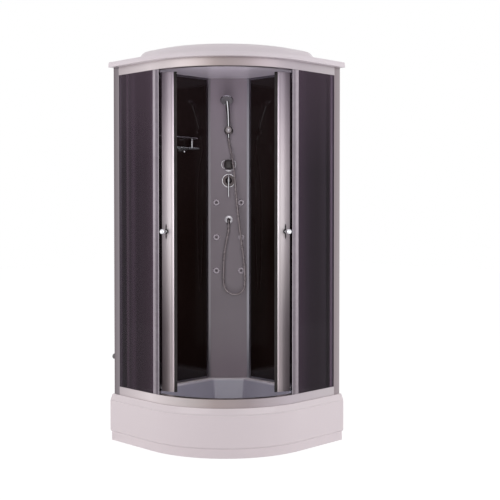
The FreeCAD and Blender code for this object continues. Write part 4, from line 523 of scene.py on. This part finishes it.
# the finish of each node by the longest start of its name
finishOf = {
    "tray": "trayAcrylic", "apron": "acrylicWhite", "tray_frame": "zincSteel", "levelling_feet": "zincSteel",
    "drain_body": "whiteNylon", "drain_cover": "chromePlate", "bottom_rail": "railAluminium",
    "top_rail": "railAluminium", "side_profile": "jambAluminium", "fixed_glass": "tintedPane",
    "edge_seals": "clearSeal", "wall_panel": "blackGlass", "column_trims": "trimAluminium",
    "column_panel": "columnGrey", "ceiling_panel": "ceilingShadedWhite", "roof_cover": "roofWhite",
    "handset": "chromePlate", "holder_base": "darkChrome", "holder_cradle": "darkChrome",
    "shower_hose": "chromePlate", "hose_outlet": "chromePlate", "diverter_knob": "darkPlastic",
    "mixer_plate": "mixerPlateDark", "mixer_lever": "chromePlate", "valve_body": "machinedBrass",
    "jet_housings": "jetGrey", "jet_nozzle": "jetDark", "shelf_glass": "shelfPane", "shelf_rail": "chromePlate",
    "shelf_clamps": "chromePlate", "water_pipes": "whiteNylon", "wall_buffer": "greyRubber",
    "door_glass": "doorPane", "door_stile": "stileAluminium", "rear_strip": "stileAluminium",
    "magnet_seal": "magnetSealBlack", "door_knob": "chromePlate", "roller_carriers": "chromePlate",
    "roller": "whiteNylon",
}


def coatNodes(made):
    for name, item in nodes.items():
        fits = [key for key in finishOf if name.startswith(key)]
        item.data.materials.clear()
        item.data.materials.append(made[finishOf[max(fits, key=len)]])


stage = {
    "wide": 14.0, "floor": rgb(0.78, 0.76, 0.77),   # the floor that lights the object from below
    "glow": 0.945, "keptShadow": 0.16,   # the floor as seen: its own white, and the share that a shadow takes away
    "fill": rgb(0.60, 0.57, 0.595), "level": 0.62,   # the world's light on the object
}


def setStage():
    # a floor and a world that are seen white and light the object less than that
    wide = stage["wide"]
    mesh = bpy.data.meshes.new("floor")
    mesh.from_pydata([(-wide, -wide, 0), (wide, -wide, 0), (wide, wide, 0), (-wide, wide, 0)], [], [(0, 1, 2, 3)])
    floor = bpy.data.objects.new("floor", mesh)
    bpy.context.collection.objects.link(floor)
    material = bpy.data.materials.new("paleFloor")
    mesh.materials.append(material)
    ground = NodeTree(material)
    ground.tree.nodes.clear()
    kept = stage["keptShadow"]
    glow = ground.add("ShaderNodeEmission", {}, {"Strength": stage["glow"]})
    shaded = ground.add("ShaderNodeBsdfDiffuse", {}, {"Color": rgb(kept, kept, kept)})
    white = ground.add("ShaderNodeAddShader", {}, [glow, shaded])
    flat = ground.add("ShaderNodeBsdfDiffuse", {}, {"Color": stage["floor"]})
    ground.add("ShaderNodeOutputMaterial", {}, [ground.seen(white, flat)])

    world = bpy.data.worlds.new("studio")
    bpy.context.scene.world = world
    sky = NodeTree(world)
    sky.tree.nodes.clear()
    white = sky.add("ShaderNodeBackground", {}, {"Color": plainWhite})
    fill = sky.add("ShaderNodeBackground", {}, {"Color": stage["fill"], "Strength": stage["level"]})
    sky.add("ShaderNodeOutputWorld", {}, [sky.seen(white, fill)])


def softened(points, times):
    # corner cutting: each run gives the points at a quarter and three quarters of it, and both ends stay
    points = np.asarray(points, float)
    for _ in range(times):
        near = 0.75 * points[:-1] + 0.25 * points[1:]
        far = 0.25 * points[:-1] + 0.75 * points[1:]
        inner = np.stack([near, far], 1).reshape(-1, points.shape[1])
        points = np.concatenate([points[:1], inner, points[-1:]])
    return points


def tube(path, radii, side, sides=24, flat=1.0):
    # line + radius * (cos t * side + flat * sin t * (along x side)), along being the line's own direction
    along = np.gradient(path, axis=0)
    along /= np.linalg.norm(along, axis=1)[:, None]
    across = side - (along @ side)[:, None] * along
    across /= np.linalg.norm(across, axis=1)[:, None]
    third = np.cross(along, across)
    t = np.arange(sides) * 2 * math.pi / sides
    ring = np.cos(t)[None, :, None] * across[:, None] + flat * np.sin(t)[None, :, None] * third[:, None]
    return path[:, None] + np.asarray(radii)[:, None, None] * ring


def lathe(centre, axis, profile, sides=48, square=0.0):
    # centre + along * axis + radius * (cos t * first + sin t * second), both square to the axis; the radius is
    # divided by (|cos t|^n + |sin t|^n)^(1/n) with n = 2 + square, which squares the ring's corners
    axis = np.asarray(axis, float) / np.linalg.norm(axis)
    first = np.cross(axis, (0, 0, 1.0))
    first /= np.linalg.norm(first)
    second = np.cross(axis, first)
    profile = np.asarray(profile, float) / 1000
    t = np.arange(sides) * 2 * math.pi / sides
    power = 2 + square
    wide = 1 / (np.abs(np.cos(t)) ** power + np.abs(np.sin(t)) ** power) ** (1 / power)
    ring = (wide * np.cos(t))[:, None] * first + (wide * np.sin(t))[:, None] * second
    return np.asarray(centre) + profile[:, 1][:, None, None] * axis + profile[:, 0][:, None, None] * ring


def skin(name, grids, body, finish, replaced=None):
    # each grid is rows of closed rings: quads join neighbouring rings, fans close both ends at their middles unless the
    # last ring is the first again, and the faces are turned over where the signed volume, a sixth of the summed triple
    # products, is below zero
    points, faces, start = [], [], 0
    for grid in grids:
        looped = np.allclose(grid[0], grid[-1])
        grid = grid[:-1] if looped else grid
        rows, sides = grid.shape[:2]
        spots = np.concatenate([grid.reshape(-1, 3), grid[:1].mean(1), grid[-1:].mean(1)])
        row, col = np.meshgrid(np.arange(rows if looped else rows - 1), np.arange(sides), indexing="ij")
        after, below = (col + 1) % sides, (row + 1) % rows
        quads = np.stack([row * sides + col, row * sides + after, below * sides + after, below * sides + col], -1)
        quads = quads.reshape(-1, 4)
        ring = np.arange(sides)
        last = (rows - 1) * sides + ring
        near = np.stack([(ring + 1) % sides, ring, np.full(sides, rows * sides)], -1)
        far = np.stack([last, (rows - 1) * sides + (ring + 1) % sides, np.full(sides, rows * sides + 1)], -1)
        fans = np.concatenate([near, far])[:0 if looped else None]
        spots = spots[:rows * sides] if looped else spots
        corners = spots[np.concatenate([quads[:, [0, 1, 2]], quads[:, [0, 2, 3]], fans])] - spots.mean(0)
        volume = np.einsum("ij,ij->i", corners[:, 0], np.cross(corners[:, 1], corners[:, 2])).sum() / 6
        if volume < 0:
            quads, fans = quads[:, ::-1], fans[:, ::-1]
        points.append(spots)
        faces += (quads + start).tolist() + (fans + start).tolist()
        start += len(spots)
    mesh = bpy.data.meshes.new(name)
    mesh.from_pydata(np.concatenate(points).tolist(), [], faces)
    mesh.shade_smooth()
    mesh.set_sharp_from_angle(angle=math.radians(38))
    mesh.materials.append(finish)
    item = bpy.data.objects.new(name, mesh)
    bpy.context.collection.objects.link(item)
    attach(item, body)
    if replaced:
        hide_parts(replaced)
    return item


# the hose's way in the column's frame, in millimetres: across, out, height
hose = {
    "radius": 0.00575,
    "way": [
        (0, 44.55, 1714.7), (0, 37.9, 1683.4), (12, 40, 1642), (26, 56, 1571), (38, 68, 1466), (47, 73, 1350),
        (59, 74, 1234), (76, 73, 1100), (92, 71, 985), (98, 68, 905), (99, 64, 812), (64, 58, 773),
        (9, 51, 773), (-30, 46, 812), (-31, 44, 900), (-28, 40, 1000), (-14, 37, 1095), (0, 36, 1150.7),
        (0, 36, 1196.7),
    ],
}


def makeHose(made):
    # a curve through the listed points, and a bare copy of it that is turned into a mesh and removed again
    points = atColumn(hose["way"][::-1]).tolist()   # from the outlet to the handset
    curve = bpy.data.curves.new("showerHose", "CURVE")
    curve.dimensions = "3D"
    line = curve.splines.new("NURBS")
    line.points.add(len(points) - 1)
    for spot, point in zip(line.points, points):
        spot.co = (*point, 1.0)
    line.order_u = 3
    line.use_endpoint_u = True
    line.resolution_u = 12
    curve.bevel_depth = hose["radius"]
    curve.bevel_resolution = 5
    curve.use_fill_caps = True
    item = bpy.data.objects.new("showerHose", curve)
    bpy.context.collection.objects.link(item)
    item.data.materials.append(made["hoseSteel"])
    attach(item, "cabin")
    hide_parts("shower_hose")
    bare = curve.copy()
    bare.bevel_depth = 0
    bareItem = bpy.data.objects.new("bareHose", bare)
    bpy.context.collection.objects.link(bareItem)
    depsgraph = bpy.context.evaluated_depsgraph_get()
    mesh = bpy.data.meshes.new_from_object(bareItem.evaluated_get(depsgraph))
    bpy.data.objects.remove(bareItem)
    bpy.data.meshes.remove(mesh)


# the handle's line in the column's frame with its radius, and the turned head: radius and depth, in millimetres
handset = {
    "handle": [(0, 44.6, 1714.7, 7.5), (0, 47.5, 1728, 8.4), (0, 53, 1755, 10.0), (0, 60, 1790, 10.2),
               (-1, 70, 1838, 11.0), (-3, 83, 1882, 12.4), (-6, 93, 1912, 12.8), (-8, 99, 1930, 12.0)],
    "flat": 0.86,   # the handle's depth over its width
    "headMiddle": (-9, 104, 1935.5),
    "faces": 50,   # degrees that the spray face looks down
    "head": [(1, -17), (9, -16.4), (18, -14), (27, -9.8), (34, -4.6), (37.6, 0), (38.6, 3.6), (38.2, 6.6), (36.6, 8.2),
             (35, 7.7), (34, 6.2), (1, 6.0)],
    "plate": [(1, 5.5), (32, 5.5), (33, 6.4), (31.5, 7.3), (22, 7.7), (1, 8.1)],
    "jets": ((7, 6), (14, 12), (21, 18), (28, 24)),   # rings of nozzles: radius and how many
    "jet": [(1.5, 7.0), (1.3, 8.7), (0.9, 9.3), (0.2, 9.5)],
}


def makeHandset(made):
    # the head's middle + radius * (cos t across, sin t up its face) places each nozzle of a ring
    line = softened(handset["handle"], 3)
    handle = tube(atColumn(line[:, :3]), line[:, 3] / 1000, rightward, 32, handset["flat"])
    middle = atColumn(handset["headMiddle"])
    tilt = math.radians(handset["faces"])
    looks = outward * math.cos(tilt) - np.array([0, 0, math.sin(tilt)])
    head = lathe(middle, looks, handset["head"], 64)
    skin("handsetShell", [handle, head], "handset", made["chromePlate"], "handset")
    plate = lathe(middle, looks, handset["plate"], 48)
    skin("handsetFace", [plate], "handset", made["sprayFaceGrey"])
    up = np.cross(looks, rightward)
    spots = [middle + radius / 1000 * (math.cos(t) * rightward + math.sin(t) * up)
             for radius, count in handset["jets"] for t in np.arange(count) * 2 * math.pi / count]
    jets = [lathe(spot, looks, handset["jet"], 8) for spot in spots]
    skin("handsetJets", jets, "handset", made["darkPlastic"])


holder = {
    "front": (0, 66.5, 1759),
    "ring": [(23.3, -3), (24.4, -1), (24.4, 1.6), (22.8, 3), (20.8, 2.4), (20.6, -1), (23.3, -3)],
    "cap": [(9.8, 1.5), (10.2, 4.4), (9.4, 7.4), (7.2, 9.6), (3.8, 10.8), (0.8, 11.1)],
}


def makeHolder(made):
    # a dark ring and a bright cap on the cradle's front
    front = atColumn(holder["front"])
    skin("cradleRing", [lathe(front, outward, holder["ring"], 48)], "holder_cradle", made["darkChrome"])
    skin("cradleCap", [lathe(front, outward, holder["cap"], 40)], "holder_cradle", made["satinChrome"])


mixer = {
    "z": 1458,
    "ring": [(36.4, 5.4), (36.5, 8.2), (37.4, 9.0), (39.8, 9.0), (40.7, 8.2), (40.8, 5.4), (36.4, 5.4)],
    "hub": [(20.5, 6.8), (20.9, 9), (20.0, 22), (18.4, 29), (14.5, 33), (8, 35), (1, 35.4)],
    "lever": [(0, 33, 1489, 3.2), (0, 36.5, 1478, 4.4), (0, 37.5, 1458, 5.2), (0, 39, 1425, 4.6),
              (0, 41.5, 1390, 4.2), (0, 42.5, 1366, 4.4), (0, 42, 1358, 2.4)],
    "flat": 0.62,
}


def makeMixer(made):
    # a thin bright ring on the plate, a dark hub and the long flat lever
    middle = atColumn((0, 0, mixer["z"]))
    skin("mixerRing", [lathe(middle, outward, mixer["ring"], 64)], "cabin", made["satinChrome"])
    line = softened(mixer["lever"], 3)
    lever = tube(atColumn(line[:, :3]), line[:, 3] / 1000, rightward, 20, mixer["flat"])
    skin("leverShape", [lever], "mixer_lever", made["chromePlate"], "mixer_lever")
    skin("leverHub", [lathe(middle, outward, mixer["hub"], 48)], "mixer_lever", made["darkChrome"])


diverter = {
    "z": 1556,
    "body": [(22, 0.8), (26.5, 1.6), (27.5, 4), (26, 12), (23, 17), (17, 19.4), (1, 20)],
    "square": 2.6,
    "bow": 43.0, "bowAngle": 50, "bowThick": 4.0, "bowOut": 9.0, "bowSteps": 25,
    "drawnIn": 0.30, "upright": 0.92, "dip": 4.0, "thinner": 0.35,   # at a bow's ends: radius, height, depth, thickness
    "tab": [(-24, 6, 1527, 2.0), (-20, 9, 1520, 4.2), (-8, 10, 1516.8, 5.0), (8, 10, 1516.8, 5.0),
            (20, 9, 1520, 4.2), (24, 6, 1527, 2.0)],
}


def makeDiverter(made):
    middle = atColumn((0, 0, diverter["z"]))
    body = lathe(middle, outward, diverter["body"], 64, diverter["square"])
    skin("diverterShape", [body], "diverter_knob", made["darkPlastic"], "diverter_knob")
    # each bow is r * (cos t across, sin t up), t within the bow's angle, r = bow * (1 - drawnIn * (t / end)^4);
    # its depth falls by dip * |t / end|^3 and its thickness by the share thinner * |t / end|
    t = np.radians(np.linspace(-diverter["bowAngle"], diverter["bowAngle"], diverter["bowSteps"]))
    ends = np.abs(t) / t[-1]
    radius = diverter["bow"] * (1 - diverter["drawnIn"] * ends ** 4)
    depth = diverter["bowOut"] - diverter["dip"] * ends ** 3
    height = diverter["z"] + radius * np.sin(t) * diverter["upright"]
    thick = diverter["bowThick"] * (1 - diverter["thinner"] * ends)
    bows = [tube(atColumn(np.stack([way * radius * np.cos(t), depth, height], -1)), thick / 1000, outward, 14)
            for way in (-1, 1)]
    line = softened(diverter["tab"], 2)
    bows.append(tube(atColumn(line[:, :3]), line[:, 3] / 1000, outward, 20))
    skin("diverterBows", bows, "diverter_knob", made["satinChrome"])


outlet = {
    "z": 1223,
    "rose": [(25.4, 0.4), (25.4, 3.0), (24.2, 5.2), (21.0, 7.2), (17.0, 8.0), (13.0, 8.2), (11.4, 9.4), (10.6, 13)],
    "elbow": [(0, 8, 1223, 10.2), (0, 22, 1223, 9.8), (0, 33, 1222.5, 9.8), (0, 36.2, 1216, 9.4),
              (0, 36, 1206, 9.0), (0, 36, 1197, 8.8)],
}


def makeOutlet(made):
    # a domed rose, and a bent neck that the hose hangs from
    rose = lathe(atColumn((0, 0, outlet["z"])), outward, outlet["rose"], 56)
    line = softened(outlet["elbow"], 3)
    elbow = tube(atColumn(line[:, :3]), line[:, 3] / 1000, rightward, 28)
    skin("outletShape", [rose], "cabin", made["satinChrome"], "hose_outlet")
    skin("outletElbow", [elbow], "cabin", made["darkChrome"])


# plate is the left knob's place in the world, in millimetres; the right one is its mirror image
knob = {
    "plate": (-61.9, -384.8, 1168), "axis": (0.3547, -0.935, 0),
    "post": [(9, 3.0), (6.5, 5), (5, 9), (4.6, 22), (6, 27)],
    "ball": [(4.8, 24), (9.5, 25.6), (13.4, 29), (15.7, 34), (16, 39), (15.2, 45), (13.4, 50),
             (10.0, 53.4), (8.0, 54.0), (6.4, 53.0), (5.6, 51.6), (3.0, 51.0), (0.8, 50.8)],
    "disc": [(13.2, 1.2), (13.4, 3.4), (12.2, 4.8), (1, 5.0)],
    "point": [(0, 0, 40, 0.9), (0, 0, 33, 2.2), (0, 0, 26, 3.4), (0, 0, 20, 2.6), (0, 0, 12, 3.0)],
    "pointOut": 2.4, "pointFlat": 0.6,
}


def makeKnobs(made):
    # a ball with a dished end on its post, and a black disc with a point above and one below, a painted reflection that
    # stands in for the knob's dark reflection in the door
    line = softened(knob["point"], 2)
    for side in ("left", "right"):
        spot, axis = np.array(knob["plate"]) / 1000, np.array(knob["axis"])
        if side == "right":
            spot, axis = np.array([-spot[1], -spot[0], spot[2]]), np.array([-axis[1], -axis[0], 0])
        ball = [lathe(spot, axis, knob["ball"], 40), lathe(spot, axis, knob["post"], 24)]
        skin(f"knobBall_{side}", ball, f"door_{side}", made["chromePlate"], f"door_knob_{side}")
        # painted reflection: the black disc and its points stand in for the knob's dark reflection
        plate = [lathe(spot, axis, knob["disc"], 40)]
        for way in (-1, 1):
            path = spot + (line[:, :3] * (1, 1, way) + axis * knob["pointOut"]) / 1000
            plate.append(tube(path, line[:, 3] / 1000, np.cross(axis, upward), 16, knob["pointFlat"]))
        skin(f"knobReflectionDisc_{side}", plate, f"door_{side}", made["magnetSealBlack"])


# the lip seals between the rails, in millimetres: radii from the bend's middle, a start behind it, a turn in degrees
lip = {
    "low": 305.6, "high": 2020.4, "levels": 12, "inner": 538.5, "outer": 540.2, "back": 2, "turn": 4.1, "steps": 9,
    "beadRadius": 1.3, "beadSides": 10, "rootBead": 540.4, "tipBead": 539.6,
}


def lipPlan(radius):
    # a point on the pane's line behind the bend, then radius * (cos, sin) about the bend's middle for the turn
    angles = np.radians(-90 + np.linspace(0, lip["turn"], lip["steps"]))
    middle = bendMiddle * 1000
    bend = middle + radius * np.stack([np.cos(angles), np.sin(angles)], -1)
    return np.concatenate([middle[None] - np.array([[lip["back"], radius]]), bend])


def makeLips(made):
    # the plan's outline carried up through the levels, and a round bead up its root and its tip
    levels = np.linspace(lip["low"], lip["high"], lip["levels"])
    thick = np.full(lip["levels"], lip["beadRadius"] / 1000)
    for side in ("left", "right"):
        outline = np.concatenate([lipPlan(lip["outer"]), lipPlan(lip["inner"])[::-1]])
        beads = np.stack([lipPlan(lip["rootBead"])[0], lipPlan(lip["tipBead"])[-1]])
        if side == "right":
            outline, beads = -outline[:, ::-1], -beads[:, ::-1]
        strip = np.stack([np.insert(outline, 2, level, axis=1) for level in levels]) / 1000
        skin(f"lipSeal_{side}", [strip], "cabin", made["clearSeal"], "edge_seals")
        lines = [np.stack([np.full(lip["levels"], x), np.full(lip["levels"], y), levels], -1) / 1000 for x, y in beads]
        beadGrids = [tube(line, thick, rightward, lip["beadSides"]) for line in lines]
        skin(f"lipBeads_{side}", beadGrids, "cabin", made["paintedHighlightBead"])


# the roof's rings from the ceiling's pocket outward and up to the crown: wall inset, front inset, corner, height
roof = {
    "pocket": [(3, 9.5, 4), (1.6, 7.8, 2)], "overCeiling": 0.3,   # the pocket's rings lie this far over the ceiling
    "rings": [
        (1.6, 7.8, 2, 2067.0), (1.6, 7.0, 2, 2066.0), (0.4, -23.5, 4, 2066.0), (0, -24.9, 5, 2067.5),
        (0, -25, 5, 2070.0), (0, -23.6, 5, 2082.0), (0.2, -22.4, 6, 2091.5), (1.2, -21.0, 7, 2093.6),
        (3.0, -19.0, 8, 2094.2), (40, 30, 90, 2094.8), (54, 50, 120, 2095.6), (60, 57, 132, 2098.5),
        (65, 62, 138, 2105.0), (70, 67, 140, 2115.0), (75, 72, 140, 2126.0), (81, 78, 138, 2136.0),
        (89, 86, 135, 2143.0), (100, 98, 130, 2147.2), (120, 118, 120, 2149.0), (200, 200, 90, 2149.9),
        (300, 320, 20, 2150.0),
    ],
    "half": 450, "bend": 550,   # half of the square, and the front bend's radius
    "cornerSteps": 10, "bendSteps": 64,
}


def quadrant(wall, front, corner):
    # plan of the roof drawn in by wall and front: arcs of a corner's radius at the left end, the right end and the
    # room's corner, and the bend's arc of its radius less front about its middle, joined by straight lines
    turn = np.radians(np.linspace(0, 90, roof["cornerSteps"]))
    bend = np.radians(np.linspace(270, 360, roof["bendSteps"]))
    arc = np.stack([np.cos(turn), np.sin(turn)], -1)
    left, right, back, near = wall - roof["half"], roof["half"] - front, roof["half"] - wall, front - roof["half"]
    return np.concatenate([
        np.array([left + corner, near + corner]) - corner * arc,
        bendMiddle * 1000 + (roof["bend"] - front) * np.stack([np.cos(bend), np.sin(bend)], -1),
        np.array([right - corner, back - corner]) + corner * arc,
        np.array([left + corner, back - corner]) + corner * np.stack([-arc[:, 1], arc[:, 0]], -1),
    ])


def makeRoof(made):
    # the plans of all rings, each at its height
    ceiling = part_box("ceiling_panel")[1][2] * 1000 + roof["overCeiling"]
    rings = [(*inset, ceiling) for inset in roof["pocket"]] + roof["rings"]
    grid = np.stack([np.insert(quadrant(*ring[:3]), 2, ring[3], axis=1) for ring in rings]) / 1000
    skin("roofShape", [grid], "cabin", made["roofWhite"], "roof_cover")


setCamera()
finishes = setFinishes()
print("finishes ready:", len(finishes))
makeHose(finishes)
print("hose made")
setLamps()
setStage()
print("stage set")
coatNodes(finishes)
print("finishes on", len(nodes), "nodes")
makeHandset(finishes)
makeHolder(finishes)
makeMixer(finishes)
makeDiverter(finishes)
makeOutlet(finishes)
print("fittings made")
makeKnobs(finishes)
makeLips(finishes)
makeRoof(finishes)
print("knobs, seals and roof made")

bpy.context.scene.view_settings.view_transform = "Standard"
